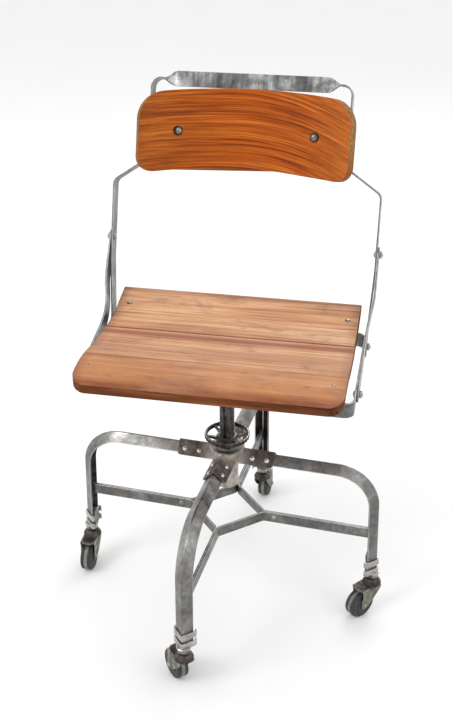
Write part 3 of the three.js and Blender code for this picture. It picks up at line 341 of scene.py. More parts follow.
# Each steel look: its dark, middle and light tones, then what else sets it apart
UNDERSIDE_SHADE = 0.6
STEELS = {
    "bar_steel": (((0.07, 0.068, 0.065), (0.225, 0.222, 0.215), (0.48, 0.475, 0.47)),
                  dict(rough=(0.24, 0.46), blotch=26, stain=0.3, spread=0.2)),
    # Painted shade: a near-black copy of the bar steel for the inner faces of the legs
    "shade_steel": (((0.010, 0.009, 0.008), (0.03, 0.028, 0.027), (0.10, 0.095, 0.09)),
                    dict(rough=(0.35, 0.6))),
    # Painted highlight: a near-white copy of the bar steel for bevelled edges
    "bar_edge": (((0.42, 0.41, 0.40), (0.66, 0.65, 0.64), (0.90, 0.90, 0.89)),
                 dict(rough=(0.2, 0.36), stain=0.1)),
    # Painted highlight: a brighter, streaky copy of the bar steel for the top of the back frame, which faces the
    # front
    "top_sheen_steel": (((0.04, 0.04, 0.04), (0.25, 0.25, 0.25), (0.86, 0.86, 0.86)),
                  dict(rough=(0.16, 0.36), blotch=20, stain=0.05, streak=(0.6, 0.10, 0.08), spread=0.13)),
    "hub_steel": (((0.04, 0.032, 0.029), (0.11, 0.09, 0.08), (0.23, 0.205, 0.185)),
                  dict(rough=(0.3, 0.56), blotch=44, patina=(0.24, 0.19, 0.14), stain=0.3, tint=hub_tint)),
    "dark_steel": (((0.02, 0.017, 0.016), (0.06, 0.052, 0.05), (0.18, 0.165, 0.16)),
                   dict(rough=(0.28, 0.5), blotch=60)),
    "thread_edge": (((0.12, 0.115, 0.11), (0.20, 0.19, 0.185), (0.34, 0.33, 0.32)),
                    dict(rough=(0.25, 0.42), blotch=80, stain=0.2)),
    "dark_edge": (((0.36, 0.35, 0.34), (0.56, 0.55, 0.54), (0.80, 0.79, 0.78)),
                  dict(rough=(0.2, 0.36), blotch=80, stain=0.1)),
    "zinc_plate": (((0.10, 0.09, 0.065), (0.25, 0.235, 0.185), (0.50, 0.485, 0.42)),
                   dict(rough=(0.32, 0.58), blotch=64, patina=(0.12, 0.08, 0.05), stain=0.55, metal=0.75)),
    "cup_steel": (((0.02, 0.016, 0.014), (0.055, 0.046, 0.042), (0.16, 0.14, 0.125)),
                  dict(rough=(0.32, 0.56), blotch=70, patina=(0.07, 0.04, 0.03), stain=0.5, metal=0.7)),
    "strap_zinc": (((0.24, 0.23, 0.215), (0.50, 0.49, 0.475), (0.80, 0.79, 0.78)),
                   dict(rough=(0.22, 0.42), blotch=60, patina=(0.16, 0.10, 0.08), stain=0.35)),
    "fixing_steel": (((0.16, 0.15, 0.145), (0.34, 0.33, 0.32), (0.60, 0.59, 0.58)),
                     dict(rough=(0.22, 0.42), blotch=120, stain=0.35)),
    "rivet_steel": (((0.42, 0.39, 0.36), (0.66, 0.63, 0.60), (0.86, 0.84, 0.81)),
                    dict(rough=(0.2, 0.36), blotch=140, stain=0.15)),
}
RUBBERS = {
    "wheel_rubber": ((0.008, 0.009, 0.011), (0.032, 0.034, 0.037)),
    "wheel_band": ((0.12, 0.11, 0.095), (0.30, 0.285, 0.26)),
}
# Each wood look: its colours by tone, its grain across and along, then what else sets it apart
WOODS = {
    "seat_wood": ([(0.39, (0.33, 0.13, 0.06)), (0.5, (0.58, 0.30, 0.155)), (0.60, (0.72, 0.43, 0.25))],
                  20, 0.14, dict(tint=seat_tint, rough=(0.45, 0.65))),
    "seat_edge": ([(0.38, (0.04, 0.012, 0.004)), (0.5, (0.14, 0.04, 0.012)), (0.62, (0.28, 0.10, 0.032))],
                  30, 0.12, dict(rough=(0.5, 0.7), gloss=0.12)),
    "back_wood": ([(0.40, (0.15, 0.022, 0.002)), (0.5, (0.38, 0.072, 0.004)), (0.60, (0.58, 0.165, 0.022))],
                  26, 0.10, dict(bend=0.95, tint=back_tint, rough=(0.40, 0.56), gloss=0.1, line=0.85,
                                 flow=(0.1, 1.8), stain=(0.10, 0.016, 0.002))),
    "back_edge": ([(0.38, (0.10, 0.04, 0.012)), (0.5, (0.25, 0.125, 0.04)), (0.62, (0.44, 0.25, 0.09))],
                  60, 0.1, dict(tint=rim_tint, rough=(0.5, 0.7), gloss=0.12)),
}
M = {name: steel(name, tones, **how) for name, (tones, how) in STEELS.items()}
M.update({name: rubber(name, *tones) for name, tones in RUBBERS.items()})
M.update({name: wood(name, *grains, **how) for name, (*grains, how) in WOODS.items()})
# Each look's bevelled edges get a brighter look: a painted highlight along the edge
EDGE_OF = {"bar_steel": "bar_edge", "hub_steel": "bar_edge", "dark_steel": "dark_edge",
           "zinc_plate": "strap_zinc", "cup_steel": "zinc_plate", "strap_zinc": "bar_edge",
           "fixing_steel": "bar_edge"}


# ------------------------------------------------------------------ mesh tools

def object_of(name, mesh, look, node, bevel=0.0, segments=2, edge=None, angle=32.0, replaces=True):
    """Finishes a mesh in metres as a piece that stands for a CAD node."""
    obj = bpy.data.objects.new(name, mesh)
    bpy.context.scene.collection.objects.link(obj)
    if not mesh.materials:
        mesh.materials.append(M[look])
    if bevel:
        mesh.materials.append(M[edge or EDGE_OF[look]])
        mod = obj.modifiers.new("bevel", "BEVEL")
        mod.width = bevel * MM
        mod.segments = segments
        mod.limit_method = "ANGLE"
        mod.angle_limit = math.radians(angle)
        mod.material = len(mesh.materials) - 1
        mod.miter_outer = "MITER_ARC"
        mod.use_clamp_overlap = True
        normal = obj.modifiers.new("normals", "WEIGHTED_NORMAL")
        normal.keep_sharp = True
    mesh.shade_smooth()
    if not bevel:
        mesh.set_sharp_from_angle(angle=math.radians(angle))
    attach(obj, BODY_OF[node])
    if replaces:
        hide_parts(node)
    return obj


def make(name, points, faces, look, node, **how):
    """A piece from points in millimetres about the screw's axis."""
    mesh = bpy.data.meshes.new(name)
    mesh.from_pydata([(V(p) + AXIS) * MM for p in points], [], faces)
    bm = bmesh.new()
    bm.from_mesh(mesh)
    bmesh.ops.recalc_face_normals(bm, faces=bm.faces)
    bm.to_mesh(mesh)
    bm.free()
    for look_name, chosen in how.pop("zones", {}).items():
        if not mesh.materials:
            mesh.materials.append(M[look])
        mesh.materials.append(M[look_name])
        for i in chosen:
            mesh.polygons[i].material_index = len(mesh.materials) - 1
    return object_of(name, mesh, look, node, **how)


def refined(node, look, bevel=0.6, **how):
    """A CAD node's own shape, with its flat faces joined and its edges softened."""
    mesh = frame["nodes"][node].data.copy()
    mesh.materials.clear()
    bm = bmesh.new()
    bm.from_mesh(mesh)
    bmesh.ops.remove_doubles(bm, verts=bm.verts, dist=2e-6)
    bmesh.ops.dissolve_limit(bm, angle_limit=math.radians(1.5), verts=bm.verts, edges=bm.edges)
    bm.to_mesh(mesh)
    bm.free()
    return object_of("vis_" + node, mesh, look, node, bevel=bevel, **how)


def loft(rings, closed=False):
    """Points and faces of a skin over rings of equal length, with caps unless the rings close."""
    n = len(rings[0])
    points = [p for ring in rings for p in ring]
    faces = []
    for s in range(len(rings) - (0 if closed else 1)):
        t = (s + 1) % len(rings)
        faces += [(s * n + i, s * n + (i + 1) % n, t * n + (i + 1) % n, t * n + i) for i in range(n)]
    if not closed:
        faces.append(tuple(range(n))[::-1])
        faces.append(tuple(range((len(rings) - 1) * n, len(rings) * n)))
    return points, faces


def merged(*parts):
    """Several (points, faces) as one."""
    points, faces = [], []
    for ps, fs in parts:
        base = len(points)
        points += list(ps)
        faces += [tuple(i + base for i in f) for f in fs]
    return points, faces


def placed(part, matrix):
    """The same (points, faces), moved."""
    return [matrix @ V(p) for p in part[0]], part[1]


def lathe(profile, segments=32, start=0.0):
    """A closed skin turned about Z from [radius, height] points; points on the axis make poles."""
    points, rows = [], []
    for r, h in profile:
        if r < 1e-6:
            rows.append([len(points)])
            points.append(V((0, 0, h)))
            continue
        rows.append(list(range(len(points), len(points) + segments)))
        for i in range(segments):
            a = start + 2 * math.pi * i / segments
            points.append(V((r * math.cos(a), r * math.sin(a), h)))
    faces = []
    for a, b in zip(rows, rows[1:]):
        for i in range(segments):
            j = (i + 1) % segments
            ring = [a[i % len(a)], a[j % len(a)], b[j % len(b)], b[i % len(b)]]
            face = tuple(dict.fromkeys(ring))
            if len(face) > 2:
                faces.append(face)
    return points, faces


def extruded(outline, low, high):
    """A prism along Z over an outline of (x, y) points."""
    return loft([[V((x, y, low)) for x, y in outline], [V((x, y, high)) for x, y in outline]])


def bent_line(corners, radii, step=4.0):
    """A polyline with rounded corners as (x, y, normal x, normal y)."""
    out = []
    ds = [V((b[0] - a[0], b[1] - a[1])).normalized() for a, b in zip(corners, corners[1:])]
    add = lambda p, d: out.append((p.x, p.y, -d.y, d.x))
    add(V(corners[0]), ds[0])
    for i in range(1, len(corners) - 1):
        a, b = ds[i - 1], ds[i]
        turn = math.atan2(a.x * b.y - a.y * b.x, a.dot(b))
        r = radii[i - 1]
        start = V(corners[i]) - a * (r * math.tan(abs(turn) / 2))
        side = math.copysign(1, turn)
        centre = start + V((-a.y, a.x)) * side * r
        steps = max(2, math.ceil(abs(math.degrees(turn)) / step))
        for k in range(steps + 1):
            t = turn * k / steps
            d = V((a.x * math.cos(t) - a.y * math.sin(t), a.x * math.sin(t) + a.y * math.cos(t)))
            add(centre + V((d.y, -d.x)) * side * r, d)
    add(V(corners[-1]), ds[-1])
    return out


def spaced(line, longest):
    """The same line with more points on its straight stretches."""
    out = [line[0]]
    for q, p in zip(line, line[1:]):
        n = max(1, math.ceil(math.hypot(p[0] - q[0], p[1] - q[1]) / longest))
        out += [tuple(a + (b - a) * (k + 1) / n for a, b in zip(q, p)) for k in range(n)]
    return out


def arc_points(cx, cy, r, a0, a1, n):
    return [(cx + r * math.cos(math.radians(a0 + (a1 - a0) * i / n)),
             cy + r * math.sin(math.radians(a0 + (a1 - a0) * i / n))) for i in range(n + 1)]


def smooth_line(points, count):
    """A Catmull-Rom curve through (a, b) points."""
    ps = [V(p) for p in points]
    ps = [2 * ps[0] - ps[1]] + ps + [2 * ps[-1] - ps[-2]]
    out = []
    for i in range(count + 1):
        t = i / count * (len(ps) - 3)
        k = min(int(t), len(ps) - 4)
        u = t - k
        p0, p1, p2, p3 = ps[k:k + 4]
        out.append(0.5 * (2 * p1 + (p2 - p0) * u + (2 * p0 - 5 * p1 + 4 * p2 - p3) * u * u
                          + (3 * p1 - p0 - 3 * p2 + p3) * u ** 3))
    return out


def axes(at, x, z):
    """A matrix with its own X and Z directions."""
    z = V(z).normalized()
    y = z.cross(V(x)).normalized()
    x = y.cross(z)
    m = Matrix((x, y, z)).transposed().to_4x4()
    m.translation = V(at)
    return m


def dome(radius, height, collar=0.0, segments=20):
    """A rivet or screw head on the XY plane, rising along Z."""
    big = (radius ** 2 + height ** 2) / (2 * height)
    top = math.asin(min(1, radius / big))
    arc = [(big * math.sin(top * (1 - i / 6)), collar + big * math.cos(top * (1 - i / 6)) - big + height)
           for i in range(7)]
    return lathe([(0, -0.4), (radius, -0.4)] + arc[:-1] + [(0, collar + height)], segments)


def rod(radius, low, high, segments=16, c=0.0):
    """A cylinder along Z, with chamfers of size c."""
    profile = [(0, low), (radius, low), (radius, high), (0, high)]
    if c:
        profile[1:3] = [(radius - c, low), (radius, low + c), (radius, high - c), (radius - c, high)]
    return lathe(profile, segments)


def hex_nut(radius, low, high):
    """A hexagon with turned-down corners."""
    c = 0.55
    rings = [(radius * 0.9, low), (radius, low + c), (radius, high - c), (radius * 0.9, high)]
    return lathe([(0, low)] + rings + [(0, high)], 6)


TURN_BASE = Matrix.Rotation(BASE_TURN, 4, "Z")


def towards(place):
    """The turn from +X to a leg of the base."""
    return TURN_BASE @ Matrix.Rotation(math.radians(LEG_ANGLES[place]), 4, "Z")


# ------------------------------------------------------------------ base

def leg_section():
    """Angle section with a rolled ridge, in (across, outward), ridge at the origin."""
    e, q = FLANGE * math.sqrt(0.5), FLANGE_T * math.sqrt(0.5)
    roll = 2.6
    shift = roll * (math.sqrt(2) - 1)
    ridge = arc_points(0, -roll * math.sqrt(2) + shift * 0.15, roll, 45, 135, 5)
    inner = [(-e + q, -e - q), (-0.8, -2 * q - 0.8), (0.8, -2 * q - 0.8), (e - q, -e - q)]
    return [(e, -e), *ridge, (-e, -e), *inner]


def leg_line(place):
    """A leg's ridge in (outward, up), with its normals."""
    foot = LEG_REACH + math.tan(LEG_SPLAY) * (LEG_TOP - LEG_FOOT)
    corners = [(LEG_INNER_END, LEG_TOP), (LEG_REACH, LEG_TOP), (foot, LEG_FOOT)]
    return bent_line(corners, [LEG_BENDS[place]], 3.0)


def leg(place):
    turn = towards(place)
    rings = [[turn @ V((x + nx * b, a, y + ny * b)) for a, b in leg_section()]
             for x, y, nx, ny in leg_line(place)]
    points, faces = loft(rings)
    n = len(rings[0])
    # The inner faces of the angle get painted shade.
    inside = [i for i in range(len(faces) - 2) if i % n in range(n - 4, n - 1)]
    make("vis_leg_" + place, points, faces, "bar_steel", "leg_" + place, zones={"shade_steel": inside},
         bevel=0.6)


def saddle_rivets(place):
    """Two domed rivets through each flange of a saddle arm."""
    turn = towards(place)
    parts = []
    for side in (-1, 1):
        out = V((0, side, 1)).normalized()
        down = V((0, side, -1)).normalized() * SADDLE_RIVET_DOWN
        for reach in SADDLE_RIVETS:
            flat = V((reach, 0, LEG_TOP)) + down + out * SADDLE_FACE
            parts.append(placed(dome(4.3, 2.3), turn @ axes(flat, (1, 0, 0), out)))
    make("vis_saddle_rivets_" + place, *merged(*parts), "rivet_steel", "hub_spider", replaces=False)


def both_heads(head, to, x, y, z):
    """A head on each of the two faces at y and -y."""
    return [placed(head, to @ axes((x, s * y, z), (1, 0, 0), (0, s, 0))) for s in (-1, 1)]


def stretcher_rivet(place):
    heads = both_heads(dome(4.6, 2.0), towards(place), STRETCHER_RIVET_OUT, BAR_T + 0.3, STRETCHER_RIVET_UP)
    make("vis_stretcher_rivet_" + place, *merged(*heads), "fixing_steel", "stretcher_rivet_" + place)


def base():
    refined("hub_spider", "hub_steel", 0.9, segments=3)
    refined("hub_tube", "hub_steel", 0.6)
    refined("thrust_washer", "bar_steel", 0.3)
    refined("guide_key", "hub_steel", 0.3)
    for place in LEG_ANGLES:
        leg(place)
        saddle_rivets(place)
        refined("stretcher_bar_" + place, "bar_steel", 0.5)
        stretcher_rivet(place)
        caster(place)


# ------------------------------------------------------------------ casters

def fork_parts():
    """Ball race housing with two grooves, a skirt and two tapering cheeks; the wheel trails to +X."""
    inner = WHEEL_W / 2 + CHEEK_GAP
    outer = inner + CHEEK_T
    race = [(0, 0), (7.6, 0), (10.2, 1.2), (11.6, 3.0), (11.9, 3.9), (12.6, 4.2), (14.2, 5.0), (14.9, 6.4),
            (14.9, 7.2), (15.6, 7.6), (16.0, 8.8), (16.0, 10.6), (15.2, 11.5), (0, 11.5)]
    housing = lathe([(r, CASTER_TOP - down) for r, down in race], 40)
    z = CASTER_TOP - 9.0
    plan = [(-9.5, -outer * 0.8), (-5, -outer), (16, -outer), (27, -outer * 0.93), (33.5, -outer * 0.6),
            (35.5, 0)]
    plan = [(x, y) for x, y in smooth_line(plan, 18)]
    plan = plan + [(x, -y) for x, y in plan[::-1][1:]]
    levels = ((1, z - 4.5), (1, z - 1.2), (0.95, z))
    plate = loft([[V((x * k, y * k, h)) for x, y in plan] for k, h in levels])
    eye = arc_points(TRAIL, WHEEL_R, 6.4, -140, 30, 8)
    outline = [(-9.5, z - 1), (-9.8, z - 7), (-2, z - 17), (10, WHEEL_R + 4), (19, WHEEL_R - 3), *eye,
               (TRAIL + 5.2, WHEEL_R + 10), (TRAIL + 3.5, z - 13), (TRAIL + 4.5, z - 5), (TRAIL + 6, z - 1)]
    cheeks = [loft([[V((x, side * y, h)) for x, h in outline] for y in (inner, outer)]) for side in (-1, 1)]
    return housing, plate, cheeks, outer


def turned_ring(profile, segments):
    """A closed profile turned about Z, for a piece with a bore."""
    points, faces = lathe(profile + [profile[0]], segments)
    count = len(profile) * segments
    return points[:count], [tuple(i % count for i in f) for f in faces]


def wheel(place, to):
    """A hard tyre with dished sides and a groove round the middle of its tread."""
    half, r, segments = WHEEL_W / 2, WHEEL_R, 56
    dish = [(3.5, 0.6), (r * 0.30, 0.4), (r * 0.36, 0.0), (r * 0.44, 0.0), (r * 0.50, 1.6), (r * 0.60, 2.1),
            (r * 0.78, 1.7), (r * 0.88, 1.5), (r * 0.955, 2.4), (r * 0.99, 4.0), (r, 5.8)]
    side = [(a, -half + b) for a, b in dish] + [(r, -3.6), (r - 0.5, -3.0), (r - 0.95, -2.7)]
    ring = turned_ring(side + [(a, -b) for a, b in side[::-1]], segments)
    stand = Matrix.Translation((TRAIL, 0, r)) @ Matrix.Rotation(math.pi / 2, 4, "X")
    row = len(side) - 2
    band = range(row * segments, (row + 3) * segments)
    make("vis_wheel_" + place, *placed(ring, to @ stand), "wheel_rubber", "caster_wheel_" + place,
         zones={"wheel_band": band}, angle=40)


def socket(place, to, leg_x):
    """V straps with curled ends round the leg's foot, a hooked tongue inside it and a bowl below."""
    node = "caster_socket_" + place
    arm, half_t, strap_h = 22.0, 1.15, 11.0
    straps = []
    for low in (LEG_FOOT - 2.0, LEG_FOOT + 15.5):
        nose = leg_x(low + 5) + 2.1
        inner = [(nose, 0.0), (nose - arm * 0.76, arm * 0.76),
                 (nose - arm * 0.80 - 3.2, arm * 0.76 + 0.8), (nose - arm * 0.80 - 5.0, arm * 0.76 - 0.6)]
        line = bent_line([(x, -y) for x, y in inner[::-1]] + inner[1:], [1.6, 2.0, 2.4, 2.0, 1.6], 18)
        one, other = ([(x + s * nx, y + s * ny) for x, y, nx, ny in line] for s in (-half_t, half_t))
        straps.append(placed(extruded(one + other[::-1], low, low + strap_h), to))
    make("vis_strap_" + place, *merged(*straps), "strap_zinc", node, bevel=0.4)
    x = leg_x(LEG_FOOT + 10) - 2 * FLANGE_T * math.sqrt(0.5) - 1.0
    w = 9.2
    top = LEG_FOOT + 33.5
    face = [(x, 0), (x - w, w), (x - w - 5.5, w), (x - w - 5.5, -w), (x - w, -w)]
    waist = [(8.2, 0), (2.5, 7.4), (-8.4, 7.4), (-8.4, -7.4), (2.5, -7.4)]
    neck = [(a - 1.2, b * 0.9) for a, b in face]
    hook = [(a * 0.72 - 4.4, b * 0.62) for a, b in face]
    levels = ((waist, LEG_FOOT - 5), (face, LEG_FOOT + 4), (face, top - 9), (neck, top - 3), (hook, top))
    tongue = loft([[V((a, b, h)) for a, b in ring] for ring, h in levels])
    bowl = lathe([(0, CASTER_TOP + 0.3), (6.5, CASTER_TOP + 0.3), (9.0, CASTER_TOP + 2.0),
                  (10.6, CASTER_TOP + 5.2), (11.4, LEG_FOOT - 4.0), (12.2, LEG_FOOT - 1.4),
                  (11.0, LEG_FOOT - 0.5), (0, LEG_FOOT - 0.5)], 32)
    make("vis_tongue_" + place, *placed(tongue, to), "zinc_plate", node, bevel=0.8, replaces=False)
    make("vis_bowl_" + place, *placed(bowl, to), "strap_zinc", node, replaces=False)


def caster(place):
    """One caster at its own swivel angle, and the socket that holds it to the leg."""
    stem = V(JOINTS["caster_swivel_" + place]["pos_m"]) / MM - AXIS
    stem.z = 0
    axle_axis = V(JOINTS["wheel_roll_" + place]["axis"])
    trail = math.atan2(-axle_axis.x, axle_axis.y)
    to = Matrix.Translation(stem) @ Matrix.Rotation(trail, 4, "Z")
    radial = Matrix.Translation(stem) @ towards(place)
    node = "caster_fork_" + place
    housing, plate, cheeks, outer = fork_parts()
    make("vis_housing_" + place, *placed(housing, to), "cup_steel", node, replaces=False, angle=50)
    make("vis_skirt_" + place, *placed(plate, to), "cup_steel", node, bevel=0.7, replaces=False)
    make("vis_cheeks_" + place, *placed(merged(*cheeks), to), "zinc_plate", node, bevel=0.5)
    dimples = both_heads(dome(3.0, 0.7), to, 11.0, outer, 43.0)
    make("vis_dimples_" + place, *merged(*dimples), "zinc_plate", node, replaces=False)
    wheel(place, to)
    heads = both_heads(dome(4.8, 2.0, 0.4), to, TRAIL, outer + 0.1, WHEEL_R)
    pin = placed(rod(3.1, -outer, outer), to @ axes((TRAIL, 0, WHEEL_R), (1, 0, 0), (0, 1, 0)))
    make("vis_axle_" + place, *merged(*heads, pin), "fixing_steel", "caster_axle_" + place)
    (x0, z0), (x1, z1) = (end[:2] for end in leg_line("left")[-2:])
    socket(place, radial, lambda h: x0 + (x1 - x0) * (h - z0) / (z1 - z0) - STEM_CIRCLE)


# ------------------------------------------------------------------ screw and handwheel

def lift_screw():
    """Square-cut helical thread with a keyway down the front."""
    segments, top = 72, SCREW_TOP
    crest, root, flat = SCREW_R, SCREW_R - THREAD_DEPTH, SCREW_R - KEY_D
    key_top = top - 6.0
    count = round((top - SCREW_FOOT) / THREAD_STEP)
    turns = [2 * math.pi * (i + 0.5) / segments for i in range(segments)]
    rings = []
    for k in range(count + 1):
        z = SCREW_FOOT + (top - SCREW_FOOT) * k / count
        ring = []
        for a in turns:
            phase = (z / PITCH - a / (2 * math.pi)) % 1.0
            rise = min(max((0.29 - abs(phase - 0.5)) / 0.16 + 0.5, 0), 1)
            r = root + (crest - root) * rise
            x, y = r * math.cos(a), r * math.sin(a)
            if abs(x) < KEY_W / 2 and y < 0 and z < key_top:
                y = max(y, -flat)
            ring.append(V((x, y, z)))
        rings.append(ring)
    for r, z in ((JOURNAL_R, top), (JOURNAL_R, top + JOURNAL_H - 1.0), (JOURNAL_R - 1.0, top + JOURNAL_H)):
        rings.append([V((r * math.cos(a), r * math.sin(a), z)) for a in turns])
    points, faces = placed(loft(rings), TURN_BASE)
    crests = [i for i, f in enumerate(faces[:-2])
              if all(math.hypot(points[j].x, points[j].y) > crest - 0.35 for j in f)]
    make("vis_lift_screw", points, faces, "dark_steel", "lift_screw", zones={"thread_edge": crests}, angle=40)


def handwheel():
    """Scalloped rim, six tapered spokes and a boss."""
    section = [(0.0, 0.5), (0.0, 2.4), (0.0, 5.4), (0.0, 6.9), (-0.5, 7.5), (-3.6, 7.5), (-4.3, 6.9),
               (-4.5, 5.8), (-4.5, 1.5), (-4.0, 0.4), (-3.2, 0.0), (-0.5, 0.0)]
    count = LOBES * 6
    rings = []
    for i in range(count):
        a = 2 * math.pi * i / count
        lobe = 1.15 * (0.5 - 0.5 * math.cos(LOBES * a)) ** 0.6
        radii = [(RIM_R + d - (lobe if d > -1 else 0), WHEEL_TOP - RIM_H + h) for d, h in section]
        rings.append([V((r * math.cos(a), r * math.sin(a), z)) for r, z in radii])
    rim = loft(rings, closed=True)
    foot, bore, boss_r = 298.0, 12.7, 18.4
    boss = turned_ring([(bore, foot), (boss_r - 0.6, foot), (boss_r, foot + 0.8), (boss_r, WHEEL_TOP - 8),
                        (17.2, WHEEL_TOP - 5.4), (15.0, WHEEL_TOP - 3.2), (bore, WHEEL_TOP - 3.0)], 48)
    # Each station of a spoke: how far out, its lower and upper face below the rim's top, half its width
    stations = ((16.0, 12.0, 6.4, 2.0), (22.0, 10.6, 4.8, 1.8), (29.0, 8.2, 3.0, 1.7), (35.0, 6.4, 1.5, 1.9))
    spoke = loft([[V((r, w, WHEEL_TOP - down)) for w, down in ((-half, a), (half, a), (half, b), (-half, b))]
                  for r, a, b, half in stations])
    spokes = [placed(spoke, TURN_BASE @ Matrix.Rotation(math.radians(FIRST_SPOKE + 360 / SPOKES * k), 4, "Z"))
              for k in range(SPOKES)]
    look = ("dark_steel", "handwheel")
    make("vis_handwheel_rim", *placed(rim, TURN_BASE), *look, bevel=0.7, edge="bar_edge", angle=50)
    make("vis_handwheel_boss", *placed(boss, TURN_BASE), *look, bevel=0.5, replaces=False, angle=40)
    make("vis_handwheel_spokes", *merged(*spokes), *look, bevel=0.6, edge="bar_edge", replaces=False)


# ------------------------------------------------------------------ seat

def seat_line():
    """The boards' top in (y, z), from the rear edge to the front."""
    rise, front = REAR_RISE, FRONT_RISE
    knots = [(SEAT_REAR, rise), (SEAT_REAR - 36, 0.52 * rise), (62, 0.06 * rise), (SEAM, 0),
             (-48, 0.2 * front), (-92, 0.82 * front), (SEAT_FRONT + 56, front),
             (SEAT_FRONT + 26, 0.72 * front), (SEAT_FRONT, 0)]
    return [(p.x, p.y + SEAT_LOW) for p in smooth_line(knots, 96)]


def height_at(line, y):
    """The height of a line that runs towards -y, at one y."""
    for (y0, z0), (y1, z1) in zip(line, line[1:]):
        if y1 <= y <= y0:
            return z0 + (z1 - z0) * (y - y0) / (y1 - y0)
    return line[0][1] if y > line[0][0] else line[-1][1]


def side_faces(faces, across):
    """The two sides and two ends of a loft whose rings run across a face and back."""
    around = 2 * across + 2
    sides = [i for i in range(len(faces) - 2) if i % around in (across, around - 1)]
    return sides + [len(faces) - 2, len(faces) - 1]


def seat_board(name, front, rear, node):
    """A curved board as rows across, narrowing round its front corners."""
    line = seat_line()
    r = SEAT_CORNER
    rounded = front == SEAT_FRONT
    ys = [rear - (rear - front) * i / 44 for i in range(45)]
    if rounded:
        ys = [y for y in ys if y > front + r + 2]
        ys += [front + r - r * math.sin(math.radians(a)) for a in range(0, 91, 6)]

    def half_at(y):
        if not rounded or y > front + r:
            return SEAT_HALF
        return SEAT_HALF - r + math.sqrt(max(0.0, r * r - (front + r - y) ** 2))

    across = 24
    xs = [-1 + 2 * i / across for i in range(across + 1)]
    rings = []
    for y in ys:
        z, w = height_at(line, y), half_at(y)
        upper = [V((w * s, y, z)) for s in xs]
        lower = [V((w * s, y, z - SEAT_T)) for s in xs[::-1]]
        rings.append(upper + lower)
    points, faces = loft(rings)
    make(name, points, faces, "seat_wood", node, zones={"seat_edge": side_faces(faces, across)},
         bevel=2.2 if rounded else 1.4, segments=4, angle=50, edge="seat_edge")


def seat_screw(node):
    """A domed, slotted head in a dark ring on the wood."""
    low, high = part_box(node)
    at = (low + high) / 2 / MM - AXIS
    top = high.z / MM
    head = dome(4.1, 1.35, 0.1, 24)
    slot = [(-3.4, -0.45), (3.4, -0.45), (3.4, 0.45), (-3.4, 0.45)]
    mark = placed(extruded(slot, 1.05, 1.42), Matrix.Rotation(0.6, 4, "Z"))
    to = Matrix.Translation((at.x, at.y, top - 1.45))
    make("vis_" + node, *placed(head, to), "rivet_steel", node)
    ring = lathe([(0, 0.75), (5.6, 0.75), (5.4, 0.95), (0, 0.95)], 24)
    make("vis_ring_" + node, *placed(ring, to), "dark_steel", node, replaces=False)
    make("vis_slot_" + node, *placed(mark, to), "dark_steel", node, replaces=False)


def seat():
    half_gap = 0.15
    seat_board("vis_seat_board_rear", SEAM + half_gap, SEAT_REAR, "seat_board_rear")
    seat_board("vis_seat_board_front", SEAT_FRONT, SEAM - half_gap, "seat_board_front")
    for a in ("rear", "front"):
        for b in ("left", "right"):
            seat_screw(f"seat_screw_{a}_{b}")
    refined("seat_ring", "bar_steel", 0.6, segments=3)
    refined("seat_carrier", "bar_steel", 0.6)
    refined("seat_bearing", "hub_steel", 0.5)
    refined("seat_cleat_left", "seat_edge", 1.2, edge="seat_edge")
    refined("seat_cleat_right", "seat_edge", 1.2, edge="seat_edge")


# ------------------------------------------------------------------ back

def bar_ring(c, w, h):
    """The four corners of a flat bar's section about its centre."""
    return [c - w - h, c + w - h, c + w + h, c - w + h]


def back_frame():
    """One flat bar: both uprights on edge, the top twisted to face the front."""
    foot = RING_HALF + 0.3 + BAR_T / 2
    corners = [(foot, -16.0), (foot, 26.0), (SPREAD, 120.0), (SPREAD, SHOULDER_UP), (NECK, NECK_UP),
               (NECK, TOP_UP), (0.0, TOP_UP)]
    line = spaced(bent_line(corners, [60, 60, 14, 14, TOP_BEND], 5.0)[:-1], 26.0)
    start, steps = NECK - TOP_BEND, 14
    twist = [start - TWIST_LENGTH * (i + 1) / steps for i in range(steps)]
    line += [(x, TOP_UP, 0.0, -1.0) for x in (*twist, 88.0, 59.0, 29.5, 0.0)]
    line += [(-x, up, -nx, ny) for x, up, nx, ny in line[::-1][1:]]
    rings, lean_top = [], []
    for x, up, nx, ny in line:
        t = min(max((start - abs(x)) / TWIST_LENGTH, 0), 1) if up > TOP_UP - 0.01 else 0
        t = t * t * (3 - 2 * t) * math.pi / 2
        across = V((nx, 0, 0)) + UP * ny
        wide = AHEAD * math.cos(t) + across * math.sin(t)
        thick = across * math.cos(t) - AHEAD * math.sin(t)
        rings.append(bar_ring(lean(x, up), wide * (BAR_W / 2), thick * (BAR_T / 2)))
        lean_top.append(t > 0.5)
    points, faces = loft(rings)
    # The twisted top that faces the front gets the painted highlight.
    sheen_faces = [i for i in range(len(faces) - 2) if lean_top[min(i // 4, len(lean_top) - 1)]]
    make("vis_back_frame", points, faces, "bar_steel", "back_frame", zones={"top_sheen_steel": sheen_faces}, bevel=0.5,
         segments=3)


